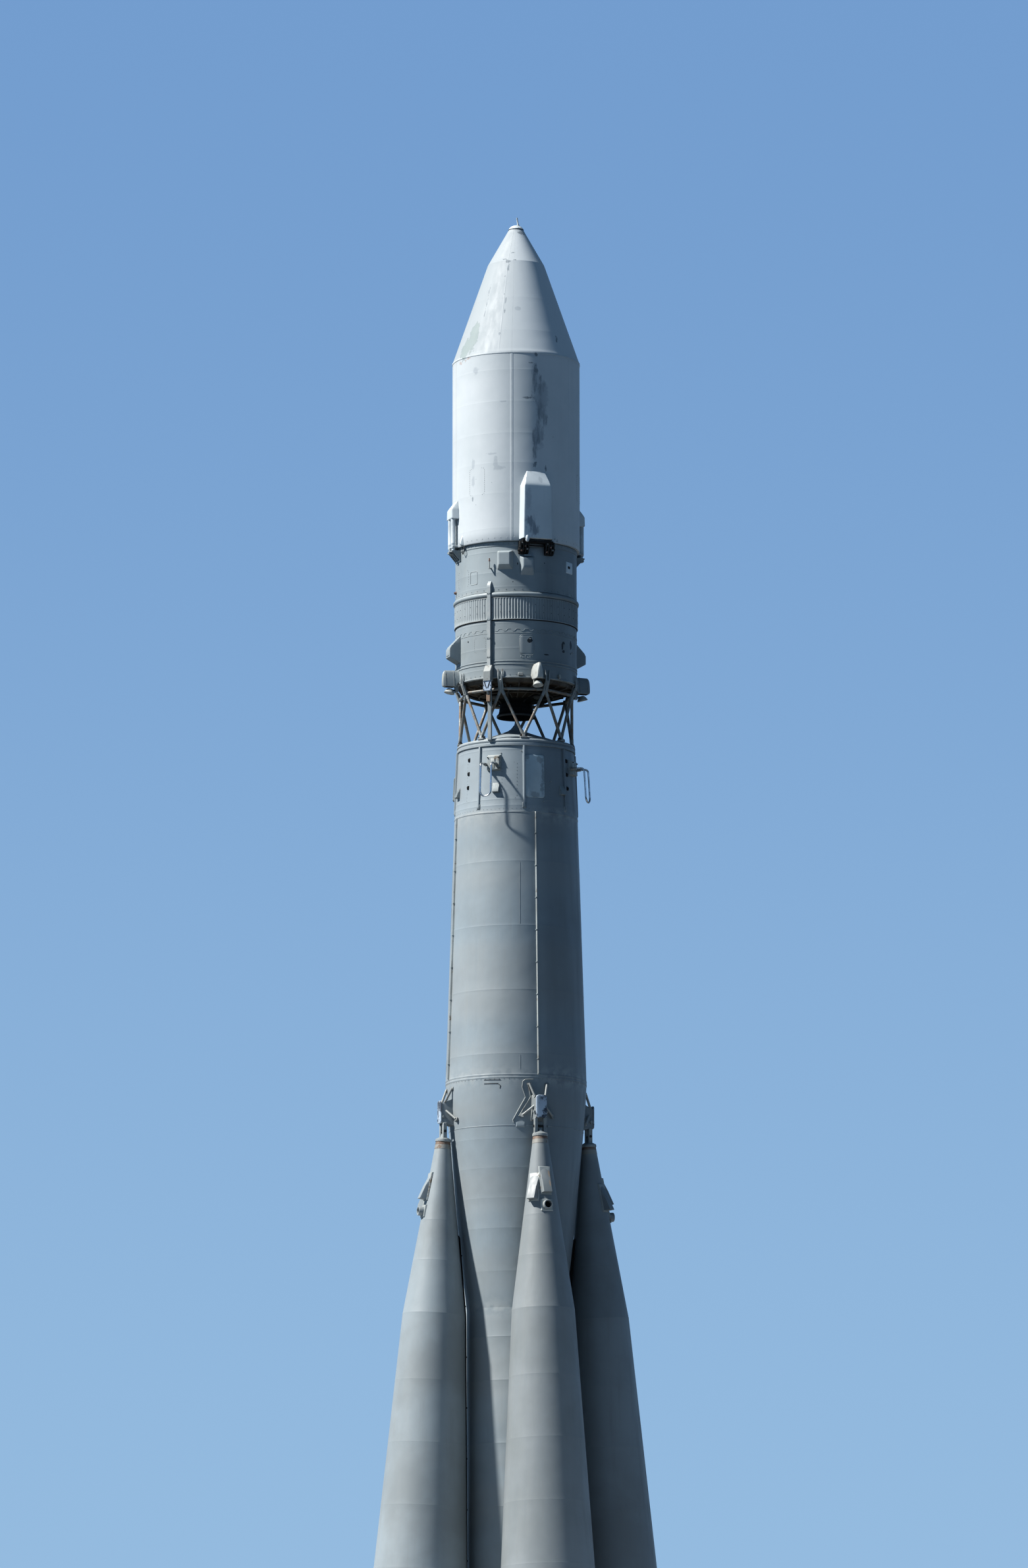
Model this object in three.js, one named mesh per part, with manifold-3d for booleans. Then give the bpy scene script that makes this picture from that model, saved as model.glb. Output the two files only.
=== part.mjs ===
// A three-stage space rocket on display, standing on the rims of its strap-on engine bells.
// Millimetres, +Z up. The origin is on the core's axis, at the level the rocket stands on.
// Four strap-on boosters stand round the core on -Y (front), +X (right), +Y (rear) and -X (left).
import * as THREE from 'three';
import { mergeVertices } from 'three/addons/utils/BufferGeometryUtils.js';
import Module from 'manifold-3d';

const wasm = await Module();
wasm.setup();

// Driving dimensions: heights above the floor, then radii.
const TOTAL_HEIGHT = 38360;
const NOSE_CAP_TOP = 38190;
const NOSE_CAP_BASE = 38080;
const CONE_JOINT = 37290;
const SHOULDER = 35150;
const FAIRING_BASE = 31080;
const RING_TOP = 30010;
const BAND_TOP = 29870;
const BAND_BASE = 29405;
const AFT_STEP = 28500;
const AFT_SKIRT_BASE = 28170;
const TRUSS_NODE_HEIGHT = 27955;
const FLANGE_TOP = 26900;
const FLANGE_BASE = 26740;
const BAY_BASE = 25350;
const WAIST = 19760;
const CORE_NECK = 15000;
const CORE_TAIL_BASE = 620;

const NOSE_CAP_RADIUS = 157;
const CONE_JOINT_RADIUS = 604;
const FAIRING_RADIUS = 1350;
const STAGE_RADIUS = 1283;
const BAND_RADIUS = 1305;
const RING_RADIUS = 1322;
const FLANGE_RADIUS = 1250;
const BAY_TOP_RADIUS = 1225;
const BAY_BASE_RADIUS = 1296;
const WAIST_RADIUS = 1475;
const CORE_TAIL_RADIUS = 1025;

// A booster's own axis leans in towards the core as it rises.
const BOOSTER_FOOT = 2600;
const BOOSTER_NOSE_OUT = 1600;
const BOOSTER_NOSE_HEIGHT = 18480;
const BOOSTER_RADIUS = 1340;
const BOOSTER_NOSE_RADIUS = 150;
const BOOSTER_SHOULDER = { height: 14890, radius: 650 };
const BOOSTER_TANK_JOINT = { height: 8300, radius: 1039 };
const BOOSTER_CYLINDER_TOP = 3200;
const BOOSTER_TAIL_BASE = 560;

// Where the skin's furniture stands, in degrees about +Z from the front booster's plane.
const PLANES = [
  { name: 'front', turn: -90 },
  { name: 'right', turn: 0 },
  { name: 'rear', turn: 90 },
  { name: 'left', turn: 180 },
];
const FRONT = -90;
const FAIRING_SEAM = FRONT - 22;
const TRUSS_FOOT = FRONT - 10.5;
const CABLE_DUCT = FRONT - 43.5;
const HOOPS = [
  { name: 'front', turn: FRONT - 39.5 },
  { name: 'right', turn: FRONT + 50.5 },
];

const SEAT = 0.3;
const BODY_SIDES = 40;
const BOOSTER_SIDES = 32;
const BELL_SIDES = 12;
const TUBE_SIDES = 6;
const DEG = Math.PI / 180;

// Paints and bare metals.
const paint = (color, roughness, metalness = 0) =>
  new THREE.MeshStandardMaterial({ color, roughness, metalness });
const WHITE_PAINT = paint(0xdfe6ea, 0.5);
const GREY_PAINT = paint(0x8d989b, 0.6);
const DARK_STEEL = paint(0x3a3733, 0.55, 0.6);
const BARE_STEEL = paint(0x8c7f70, 0.5, 0.5);
const BRIGHT_TUBE = paint(0xb9c0c6, 0.2, 0.9);
const BELL_METAL = paint(0x7d7468, 0.4, 0.8);

// Geometry to solid and back. Vertices on one point are merged and slivers with no area dropped.
function solid(geometry) {
  const bare = new THREE.BufferGeometry();
  bare.setAttribute('position', geometry.attributes.position.clone());
  if (geometry.index) bare.setIndex(geometry.index.clone());
  const merged = mergeVertices(bare, 1e-3);
  const index = merged.index.array;
  const triVerts = [];
  for (let i = 0; i < index.length; i += 3) {
    const [a, b, c] = [index[i], index[i + 1], index[i + 2]];
    if (a !== b && b !== c && c !== a) triVerts.push(a, b, c);
  }
  const vertProperties = new Float32Array(merged.attributes.position.array);
  return new wasm.Manifold(new wasm.Mesh({ numProp: 3, vertProperties, triVerts: new Uint32Array(triVerts) }));
}

function placed(body, matrix) {
  return body.transform(Array.from(matrix.elements));
}

function join(bodies) {
  return bodies.reduce((all, next) => all.add(next));
}

const moved = (x, y, z) => new THREE.Matrix4().makeTranslation(x, y, z);
const turned = (degrees) => new THREE.Matrix4().makeRotationZ(degrees * DEG);

// A profile of [radius, height] points, bottom to top on the outside, turned round +Z.
function turnedProfile(points, sides) {
  const closed = [...points, points[0]].map(([r, z]) => new THREE.Vector2(r, z));
  const geometry = new THREE.LatheGeometry(closed, sides);
  geometry.rotateX(Math.PI / 2);
  return solid(geometry);
}

// A solid of revolution from its outer profile alone, closed on the axis.
function turnedSolid(outer, sides) {
  const [first, last] = [outer[0], outer[outer.length - 1]];
  return turnedProfile([[0, first[1]], ...outer, [0, last[1]]], sides);
}

function block(width, depth, height, x, y, z) {
  return placed(solid(new THREE.BoxGeometry(width, depth, height)), moved(x, y, z));
}

// An outline of [x, z] points pushed out evenly to both sides of y = 0.
function plate(points, width) {
  const shape = new THREE.Shape(points.map(([x, z]) => new THREE.Vector2(x, z)));
  const geometry = new THREE.ExtrudeGeometry(shape, { depth: width, bevelEnabled: false });
  geometry.rotateX(Math.PI / 2);
  geometry.translate(0, width / 2, 0);
  return solid(geometry);
}

// A round bar from one point to another.
function bar(from, to, radius, sides = TUBE_SIDES, endRadius = radius) {
  const a = new THREE.Vector3(...from);
  const b = new THREE.Vector3(...to);
  const geometry = new THREE.CylinderGeometry(endRadius, radius, a.distanceTo(b), sides);
  const turn = new THREE.Quaternion().setFromUnitVectors(
    new THREE.Vector3(0, 1, 0), b.clone().sub(a).normalize());
  const place = new THREE.Matrix4().compose(
    a.clone().add(b).multiplyScalar(0.5), turn, new THREE.Vector3(1, 1, 1));
  return placed(solid(geometry), place);
}

// A tube that follows a curve.
function tube(curve, radius, steps) {
  const section = new THREE.Shape();
  for (let i = 0; i < TUBE_SIDES; i += 1) {
    const angle = (i / TUBE_SIDES) * 2 * Math.PI;
    const [x, y] = [radius * Math.cos(angle), radius * Math.sin(angle)];
    if (i === 0) section.moveTo(x, y);
    else section.lineTo(x, y);
  }
  return solid(new THREE.ExtrudeGeometry(section, { steps, extrudePath: curve, bevelEnabled: false }));
}

// A point on a cylinder, in the plane that is turned by some degrees about +Z.
function polar(radius, degrees, height) {
  return [radius * Math.cos(degrees * DEG), radius * Math.sin(degrees * DEG), height];
}

function mesh(name, body, material) {
  const { numProp, vertProperties, triVerts } = body.getMesh();
  if (numProp !== 3) throw new Error(`${name}: positions only are expected`);
  const geometry = new THREE.BufferGeometry();
  geometry.setAttribute('position', new THREE.BufferAttribute(new Float32Array(vertProperties), 3));
  geometry.setIndex(new THREE.BufferAttribute(new Uint32Array(triVerts), 1));
  geometry.computeVertexNormals();
  const item = new THREE.Mesh(geometry, material);
  item.name = name;
  return item;
}

const rocket = new THREE.Group();
const add = (name, body, material) => rocket.add(mesh(name, body, material));

// Payload fairing: a cap with its pin, and two closed halves that meet at the seam.
const capProfile = [
  [NOSE_CAP_RADIUS, NOSE_CAP_BASE + SEAT],
  [NOSE_CAP_RADIUS * 0.92, NOSE_CAP_BASE + 42],
  [NOSE_CAP_RADIUS * 0.62, NOSE_CAP_TOP - 26],
  [NOSE_CAP_RADIUS * 0.2, NOSE_CAP_TOP],
];
const pin = bar([50, -16, NOSE_CAP_TOP - 60], [17, -5, TOTAL_HEIGHT], 16, TUBE_SIDES, 9);
add('nose_cap', turnedSolid(capProfile, BELL_SIDES).add(pin), WHITE_PAINT);

const fairing = turnedSolid([
  [FAIRING_RADIUS, FAIRING_BASE],
  [FAIRING_RADIUS, SHOULDER],
  [CONE_JOINT_RADIUS, CONE_JOINT],
  [NOSE_CAP_RADIUS, NOSE_CAP_BASE],
], BODY_SIDES);
const HALF_SPACE = 20000;
for (const [name, side] of [['right', 1], ['left', -1]]) {
  const keep = placed(
    block(HALF_SPACE, HALF_SPACE, HALF_SPACE, 0, side * (HALF_SPACE / 2 + SEAT / 2), SHOULDER),
    turned(FAIRING_SEAM));
  add(`fairing_half_${name}`, fairing.intersect(keep), WHITE_PAINT);
}

// Hollow room for the skin: what stands on a round body is cut back to just clear of it.
function skinCutter(profile, sides = BODY_SIDES) {
  return turnedSolid(profile.map(([r, z]) => [r + SEAT, z]), sides);
}
const fairingSkin = skinCutter([[FAIRING_RADIUS, FAIRING_BASE - 500], [FAIRING_RADIUS, SHOULDER]]);

// Pods over the fairing's separation gear: closed boxes front and rear, open hoods left and right.
const POD_OUT = 135;
const POD_TOP = 32570;
const HOOD_TOP = 32090;
const LOCK_TOP = FAIRING_BASE - 62;
const ROD_OUT = FAIRING_RADIUS + 78;
function boxPod() {
  const side = plate([
    [FAIRING_RADIUS - 120, FAIRING_BASE + 20],
    [FAIRING_RADIUS + POD_OUT, FAIRING_BASE + 20],
    [FAIRING_RADIUS + POD_OUT, POD_TOP - 320],
    [FAIRING_RADIUS - 20, POD_TOP],
    [FAIRING_RADIUS - 120, POD_TOP],
  ], 700);
  const trim = new THREE.Shape([[-350, 0], [350, 0], [350, 1180], [210, 1500], [-210, 1500], [-350, 1180]]
    .map(([y, z]) => new THREE.Vector2(y, z)));
  const face = new THREE.ExtrudeGeometry(trim, { depth: 600, bevelEnabled: false });
  face.applyMatrix4(new THREE.Matrix4().makeBasis(
    new THREE.Vector3(0, 1, 0), new THREE.Vector3(0, 0, 1), new THREE.Vector3(1, 0, 0)));
  face.translate(FAIRING_RADIUS - 300, 0, FAIRING_BASE);
  return side.intersect(solid(face)).subtract(fairingSkin);
}
function hoodPod() {
  const hood = plate([
    [FAIRING_RADIUS - 120, HOOD_TOP - 400],
    [FAIRING_RADIUS + POD_OUT, HOOD_TOP - 400],
    [FAIRING_RADIUS + POD_OUT, HOOD_TOP - 210],
    [FAIRING_RADIUS - 20, HOOD_TOP],
    [FAIRING_RADIUS - 120, HOOD_TOP],
  ], 420);
  const rods = [-1, 1].map((side) =>
    bar([ROD_OUT, side * 95, LOCK_TOP + SEAT], [ROD_OUT, side * 95, HOOD_TOP - 330], 48, 8));
  const foot = block(150, 330, 60, FAIRING_RADIUS + 40, 0, FAIRING_BASE + 60);
  return join([hood, ...rods, foot]).subtract(fairingSkin);
}
for (const { name, turn } of PLANES) {
  const body = name === 'front' || name === 'rear' ? boxPod() : hoodPod();
  add(`fairing_pod_${name}`, placed(body, turned(turn)), WHITE_PAINT);
}

// Third stage, forward skirt: boxes, cable gland pads and the lock brackets under the pods.
const stageSkin = skinCutter([[STAGE_RADIUS, AFT_SKIRT_BASE - 400], [STAGE_RADIUS, FAIRING_BASE]]);
const forwardSkirt = turnedSolid([
  [STAGE_RADIUS, RING_TOP + SEAT],
  [STAGE_RADIUS, FAIRING_BASE - SEAT],
], BODY_SIDES);
const skirtBoxes = [
  { turn: FRONT - 28.6, z: 30680, width: 340, height: 400, out: 120 },
  { turn: FRONT - 7.6, z: 30560, width: 310, height: 400, out: 105 },
].map(({ turn, z, width, height, out }) => {
  return placed(block(out + 60, width, height, STAGE_RADIUS + (out - 60) / 2, 0, z), turned(turn));
});
const lockBrackets = PLANES.flatMap(({ name, turn }) => {
  if (name === 'front' || name === 'rear') {
    return [-250, 230].map((y) =>
      placed(block(170, 110, 190, STAGE_RADIUS + 5, y, FAIRING_BASE - 100), turned(turn)));
  }
  return [placed(plate([
    [STAGE_RADIUS - 40, FAIRING_BASE - 290],
    [STAGE_RADIUS + 15, FAIRING_BASE - 270],
    [STAGE_RADIUS + 195, LOCK_TOP],
    [STAGE_RADIUS - 40, LOCK_TOP],
  ], 330), turned(turn))];
});
add('third_stage_forward_skirt', join([forwardSkirt, ...skirtBoxes, ...lockBrackets]), GREY_PAINT);

// Third stage, tank section: a rolled ring over a corrugated band, then the aft skirt with its pods.
const band = turnedSolid([
  [STAGE_RADIUS, AFT_SKIRT_BASE],
  [STAGE_RADIUS, AFT_STEP - 40],
  [STAGE_RADIUS + 12, AFT_STEP - 30],
  [STAGE_RADIUS + 12, AFT_STEP + 30],
  [STAGE_RADIUS, AFT_STEP + 40],
  [STAGE_RADIUS, BAND_BASE],
  [BAND_RADIUS, BAND_BASE],
  [BAND_RADIUS, BAND_TOP],
  [RING_RADIUS, BAND_TOP + 35],
  [RING_RADIUS, RING_TOP - 40],
  [STAGE_RADIUS, RING_TOP],
], BODY_SIDES);
const sidePlanes = PLANES.filter(({ name }) => name === 'left' || name === 'right');
const aftPods = sidePlanes.map(({ turn }) => placed(plate([
  [STAGE_RADIUS - 60, 28610],
  [STAGE_RADIUS + 10, 28610],
  [STAGE_RADIUS + 228, 28735],
  [STAGE_RADIUS + 228, 28930],
  [STAGE_RADIUS + 10, 29185],
  [STAGE_RADIUS - 60, 29185],
], 300), turned(turn)));

// Steering nozzle housings: a rounded case in each plane, with the lug that carries the nozzle.
const STEER_HINGE = 28040;
const STEER_LUG_OUT = 1360;
const STEER_NOZZLE_OUT = 1467;
const housings = PLANES.map(({ turn }) => {
  const flank = plate([
    [STAGE_RADIUS - 60, 28250],
    [1350, 28110],
    [1610, 28110],
    [1632, 28160],
    [1632, 28380],
    [1570, 28465],
    [STAGE_RADIUS - 60, 28465],
  ], 190);
  const lug = plate([
    [STEER_LUG_OUT - 70, 28200],
    [STEER_LUG_OUT - 70, STEER_HINGE - 45],
    [STEER_LUG_OUT, STEER_HINGE - 45],
    [STEER_LUG_OUT, 28200],
  ], 90);
  return placed(flank.add(lug), turned(turn));
});
add('third_stage_tank_section', join([band, ...aftPods, ...housings]), GREY_PAINT);

// Underside and engine of the third stage.
const underside = turnedSolid([
  [420, 27900],
  [900, 28010],
  [1190, 28080],
  [1215, AFT_SKIRT_BASE - SEAT],
], BODY_SIDES);
const upperBell = turnedProfile([
  [0, 27850],
  [215, 27830],
  [345, 27490],
  [390, 27460],
  [410, 27470],
  [410, 27510],
  [375, 27550],
  [330, 27905],
  [0, 27905],
], 24);
add('third_stage_engine', underside.add(upperBell), DARK_STEEL);

// The four steering nozzles of the third stage, each hanging under its housing on a radial pin,
// with its mouth splayed a little outwards.
const NOZZLE_SPLAY = 14;
for (const { name, turn } of PLANES) {
  const pinBar = bar([STEER_LUG_OUT + SEAT, 0, STEER_HINGE], [STEER_NOZZLE_OUT, 0, STEER_HINGE], 18);
  const cupPlace = moved(STEER_NOZZLE_OUT, 0, STEER_HINGE)
    .multiply(new THREE.Matrix4().makeRotationY(-NOZZLE_SPLAY * DEG));
  const cup = placed(turnedProfile([
    [0, -20],
    [48, -20],
    [94, -62],
    [106, -60],
    [48, 22],
    [0, 22],
  ], BELL_SIDES), cupPlace);
  add(`steering_nozzle_${name}`, placed(pinBar.add(cup), turned(turn)), WHITE_PAINT);
}

// Cable duct down the outside of the third stage and across the truss to the core's flange.
const DUCT_SPAN = { width: 85, depth: 80 };
const ductCut = turnedSolid([
  [FLANGE_RADIUS + SEAT, FLANGE_BASE - 100],
  [FLANGE_RADIUS + SEAT, FLANGE_TOP + SEAT],
  [1190, FLANGE_TOP + SEAT + 1],
  [1190, AFT_SKIRT_BASE - 1],
  [STAGE_RADIUS + SEAT, AFT_SKIRT_BASE - SEAT],
  [STAGE_RADIUS + SEAT, AFT_STEP - 45],
  [STAGE_RADIUS + 12 + SEAT, AFT_STEP - 44],
  [STAGE_RADIUS + 12 + SEAT, AFT_STEP + 44],
  [STAGE_RADIUS + SEAT, AFT_STEP + 45],
  [STAGE_RADIUS + SEAT, BAND_BASE - SEAT],
  [BAND_RADIUS + SEAT, BAND_BASE - SEAT],
  [BAND_RADIUS + SEAT, BAND_TOP - SEAT],
  [RING_RADIUS + SEAT, BAND_TOP + 30],
  [RING_RADIUS + SEAT, RING_TOP - 30],
  [STAGE_RADIUS + SEAT, RING_TOP + SEAT],
  [STAGE_RADIUS + SEAT, FAIRING_BASE - 400],
], BODY_SIDES);
const ductOuter = RING_RADIUS + 20 + DUCT_SPAN.depth;
const duct = plate([
  [1180, FLANGE_TOP - 40],
  [FLANGE_RADIUS + 60, FLANGE_TOP - 110],
  [FLANGE_RADIUS + 60, FLANGE_TOP + 700],
  [ductOuter, AFT_SKIRT_BASE + 60],
  [ductOuter, RING_TOP + 150],
  [STAGE_RADIUS - 40, RING_TOP + 235],
  [STAGE_RADIUS - 40, AFT_SKIRT_BASE],
  [FLANGE_RADIUS - 20, FLANGE_TOP + 740],
  [FLANGE_RADIUS - 20, FLANGE_TOP - 40],
], DUCT_SPAN.width);
const ductShoe = block(100, 190, 320, ductOuter - 30, 0, AFT_SKIRT_BASE + 80);
const ductPlate = block(30, 190, 220, ductOuter - 50, 0, AFT_SKIRT_BASE - 170);
const ductBody = join([duct, ductShoe, ductPlate]);
add('cable_duct', placed(ductBody, turned(CABLE_DUCT)).subtract(ductCut), GREY_PAINT);

// Interstage truss: an upper hoop, eight forked nodes, sixteen struts and eight feet.
const TRUSS_RADIUS = 1215;
const TRUSS_FOOT_RADIUS = 1190;
const STRUT_RADIUS = 31;
const NODE_COUNT = 8;
const trussParts = [];
for (let i = 0; i < NODE_COUNT; i += 1) {
  const footTurn = TRUSS_FOOT + (360 / NODE_COUNT) * i;
  const nodeTurn = footTurn + 180 / NODE_COUNT;
  const foot = polar(TRUSS_FOOT_RADIUS, footTurn, FLANGE_TOP + 60);
  for (const side of [-1, 1]) {
    const node = polar(TRUSS_RADIUS, footTurn + (side * 180) / NODE_COUNT, TRUSS_NODE_HEIGHT);
    trussParts.push(bar(foot, node, STRUT_RADIUS));
  }
  trussParts.push(bar(
    polar(TRUSS_RADIUS, nodeTurn, TRUSS_NODE_HEIGHT),
    polar(TRUSS_RADIUS, nodeTurn + 360 / NODE_COUNT, TRUSS_NODE_HEIGHT), STRUT_RADIUS));
  trussParts.push(placed(block(110, 150, 90, TRUSS_FOOT_RADIUS, 0, FLANGE_TOP + 45 + SEAT), turned(footTurn)));
  trussParts.push(placed(plate([
    [TRUSS_RADIUS - 40, TRUSS_NODE_HEIGHT - 60],
    [TRUSS_RADIUS + 50, TRUSS_NODE_HEIGHT - 60],
    [STAGE_RADIUS + 60, AFT_SKIRT_BASE - 20],
    [STAGE_RADIUS + 45, AFT_SKIRT_BASE + 60],
    [STAGE_RADIUS + 4, AFT_SKIRT_BASE + 230],
    [STAGE_RADIUS - 20, AFT_SKIRT_BASE + 60],
    [TRUSS_RADIUS + 15, AFT_SKIRT_BASE - 50],
  ], 90), turned(nodeTurn)));
}
const trussCut = turnedSolid([
  [STAGE_RADIUS + SEAT, AFT_SKIRT_BASE - SEAT],
  [STAGE_RADIUS + SEAT, AFT_STEP],
], BODY_SIDES);
const ductRoom = placed(block(260, DUCT_SPAN.width + 30, 3000, FLANGE_RADIUS + 95, 0, 28000), turned(CABLE_DUCT));
add('interstage_truss', join(trussParts).subtract(trussCut).subtract(ductRoom), BARE_STEEL);

// Core head: the instrument bay with its flange and ribs, and the deflector cone on top.
const bay = turnedSolid([
  [BAY_BASE_RADIUS, BAY_BASE + SEAT],
  [BAY_TOP_RADIUS, FLANGE_BASE],
  [FLANGE_RADIUS, FLANGE_BASE],
  [FLANGE_RADIUS, FLANGE_TOP - 40],
  [FLANGE_RADIUS - 30, FLANGE_TOP],
  [1080, FLANGE_TOP],
  [900, FLANGE_TOP + 80],
  [520, FLANGE_TOP + 205],
  [180, FLANGE_TOP + 335],
  [45, FLANGE_TOP + 465],
], BODY_SIDES);
const ribs = Array.from({ length: NODE_COUNT }, (_, i) => placed(plate([
  [BAY_BASE_RADIUS - 60, BAY_BASE + 60],
  [BAY_BASE_RADIUS + 30, BAY_BASE + 60],
  [BAY_TOP_RADIUS + 45, FLANGE_BASE + 10],
  [BAY_TOP_RADIUS - 60, FLANGE_BASE + 10],
], 55), turned(TRUSS_FOOT + (360 / NODE_COUNT) * i)));
const apexRod = bar([0, 0, FLANGE_TOP + 430], [0, 0, FLANGE_TOP + 615], 28);
add('core_instrument_bay', join([bay, ...ribs, apexRod]), GREY_PAINT);

// Vent hoops: two legs from a box on the bay, out, down and joined at the bottom.
const HOOP = { boxHeight: 26340, out: 1715, half: 118, drop: 600, tube: 19 };
const bayCut = turnedSolid([
  [BAY_BASE_RADIUS + SEAT, BAY_BASE],
  [BAY_TOP_RADIUS + SEAT, FLANGE_BASE - SEAT],
], BODY_SIDES);
for (const { name, turn } of HOOPS) {
  const { boxHeight, out, half, drop, tube: tubeRadius } = HOOP;
  const path = new THREE.CurvePath();
  const corner = 90;
  const point = (x, y, z) => new THREE.Vector3(x, y, z);
  const low = boxHeight - drop;
  path.add(new THREE.LineCurve3(point(1300, half, boxHeight), point(out - corner, half, boxHeight)));
  path.add(new THREE.QuadraticBezierCurve3(
    point(out - corner, half, boxHeight), point(out, half, boxHeight), point(out + 4, half, boxHeight - corner)));
  path.add(new THREE.LineCurve3(point(out + 4, half, boxHeight - corner), point(out + 38, half, low)));
  path.add(new THREE.CubicBezierCurve3(
    point(out + 38, half, low), point(out + 45, half, low - half * 1.35),
    point(out + 45, -half, low - half * 1.35), point(out + 38, -half, low)));
  path.add(new THREE.LineCurve3(point(out + 38, -half, low), point(out + 4, -half, boxHeight - corner)));
  path.add(new THREE.QuadraticBezierCurve3(
    point(out + 4, -half, boxHeight - corner), point(out, -half, boxHeight), point(out - corner, -half, boxHeight)));
  path.add(new THREE.LineCurve3(point(out - corner, -half, boxHeight), point(1300, -half, boxHeight)));
  const box = block(220, 310, 340, 1300, 0, boxHeight + 40);
  const hoop = placed(tube(path, tubeRadius, 30).add(box), turned(turn)).subtract(bayCut);
  add(`vent_hoop_${name}`, hoop, BRIGHT_TUBE);
}

// Core tanks. The upper one carries a thin cable conduit above each booster.
const upperTank = turnedSolid([
  [WAIST_RADIUS, WAIST + SEAT],
  [BAY_BASE_RADIUS, BAY_BASE],
], BODY_SIDES);
const conduits = PLANES.map(({ turn }) => placed(plate([
  [WAIST_RADIUS - 60, WAIST + 20],
  [WAIST_RADIUS + 38, WAIST + 20],
  [BAY_BASE_RADIUS + 38, BAY_BASE - 1],
  [BAY_BASE_RADIUS - 60, BAY_BASE - 1],
], 40), turned(turn)));
add('core_oxidizer_tank', join([upperTank, ...conduits]), GREY_PAINT);

const waistProfile = [
  [CORE_TAIL_RADIUS, CORE_NECK + SEAT],
  [1212, 16630],
  [1408, 18730],
  [1455, 19280],
  [WAIST_RADIUS, WAIST],
];
add('core_waist_cone', turnedSolid(waistProfile, BODY_SIDES), GREY_PAINT);

// Steering chambers: a pin, a head and a small bell. The pin's flat end faces the bracket's boss.
const CHAMBER = { pin: 34, head: 75, throat: 48, exit: 122, length: 400 };
function steeringChamber(bossFace, hinge) {
  const reach = 150;
  const swivel = bar([bossFace + SEAT, 0, hinge], [bossFace + reach, 0, hinge], CHAMBER.pin);
  const body = turnedProfile([
    [0, -160],
    [CHAMBER.throat - 12, -160],
    [CHAMBER.exit - 14, -CHAMBER.length],
    [CHAMBER.exit, -CHAMBER.length],
    [CHAMBER.throat + 6, -120],
    [CHAMBER.head, -70],
    [CHAMBER.head, 80],
    [0, 80],
  ], BELL_SIDES);
  return swivel.add(placed(body, moved(bossFace + reach, 0, hinge)));
}
function steeringBracket(wall, bossFace, hinge, top) {
  return plate([
    [wall, hinge - 60],
    [bossFace, hinge - 60],
    [bossFace, hinge + 60],
    [bossFace - 60, top],
    [wall, top],
  ], 120);
}

// Core tail section with its four steering brackets, its base plate and its four main bells.
const CORE_STEER = { boss: 1140, hinge: 780, turns: [-45, 45, 135, 225] };
const coreTail = turnedSolid([
  [CORE_TAIL_RADIUS - 40, CORE_TAIL_BASE],
  [CORE_TAIL_RADIUS, CORE_TAIL_BASE + 40],
  [CORE_TAIL_RADIUS, CORE_NECK],
], BODY_SIDES);
const coreBrackets = CORE_STEER.turns.map((turn) => placed(
  steeringBracket(CORE_TAIL_RADIUS - 120, CORE_STEER.boss, CORE_STEER.hinge, CORE_STEER.hinge + 260), turned(turn)));
add('core_fuel_tank_and_tail', join([coreTail, ...coreBrackets]), GREY_PAINT);
CORE_STEER.turns.forEach((turn, i) => {
  add(`core_steering_chamber_${i + 1}`,
    placed(steeringChamber(CORE_STEER.boss, CORE_STEER.hinge), turned(turn)), BELL_METAL);
});

// A main engine: a round plate under the tail and four bells in a square, each open at the bottom.
// A booster leans, but its bells point straight down, so their rims are all level.
const BELL = { offset: 415, exit: 360, throat: 165, wall: 16 };
function engine(plateTop, exitHeight, plateRadius) {
  const depth = plateTop - 60 - exitHeight;
  const bell = turnedProfile([
    [0, depth - 60],
    [BELL.throat, depth - 60],
    [BELL.exit - BELL.wall, 0],
    [BELL.exit, 0],
    [BELL.exit * 0.82, depth * 0.42],
    [BELL.throat + 40, depth + 10],
    [0, depth + 10],
  ], BELL_SIDES);
  const bells = [-1, 1].flatMap((a) => [-1, 1].map((b) =>
    placed(bell, moved(a * BELL.offset, b * BELL.offset, exitHeight))));
  const disc = turnedSolid([[plateRadius, plateTop - 60], [plateRadius, plateTop + 80]], BODY_SIDES / 2);
  return join([disc, ...bells]);
}
const ROOF_SPAN = 4000;
const roof = (height) =>
  block(ROOF_SPAN, ROOF_SPAN, ROOF_SPAN, 0, 0, height - SEAT + ROOF_SPAN / 2);
add('core_main_engine', engine(CORE_TAIL_BASE, 90, 960).subtract(roof(CORE_TAIL_BASE)), BELL_METAL);

// Boosters. Each is made about its own axis, then leaned in and turned to its plane.
const lean = Math.atan((BOOSTER_FOOT - BOOSTER_NOSE_OUT) / BOOSTER_NOSE_HEIGHT);
const boosterPlace = (turn) => turned(turn)
  .multiply(moved(BOOSTER_FOOT, 0, 0))
  .multiply(new THREE.Matrix4().makeRotationY(-lean));
const noseTop = BOOSTER_NOSE_HEIGHT / Math.cos(lean);
const THRUST_FACE = 1690;
const RUDDER = { hinge: 1130, root: 1580, tip: 2600, boss: 1560 };
const BOOSTER_STEER = { boss: 1060, hinge: 400, turns: [-52, 52] };
const ENGINE_OUT = BOOSTER_FOOT - BOOSTER_TAIL_BASE * Math.sin(lean);

const coreRoom = skinCutter([
  [CORE_TAIL_RADIUS, 0], [CORE_TAIL_RADIUS, CORE_NECK], ...waistProfile.slice(1), [WAIST_RADIUS, WAIST + 20],
]);

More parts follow.
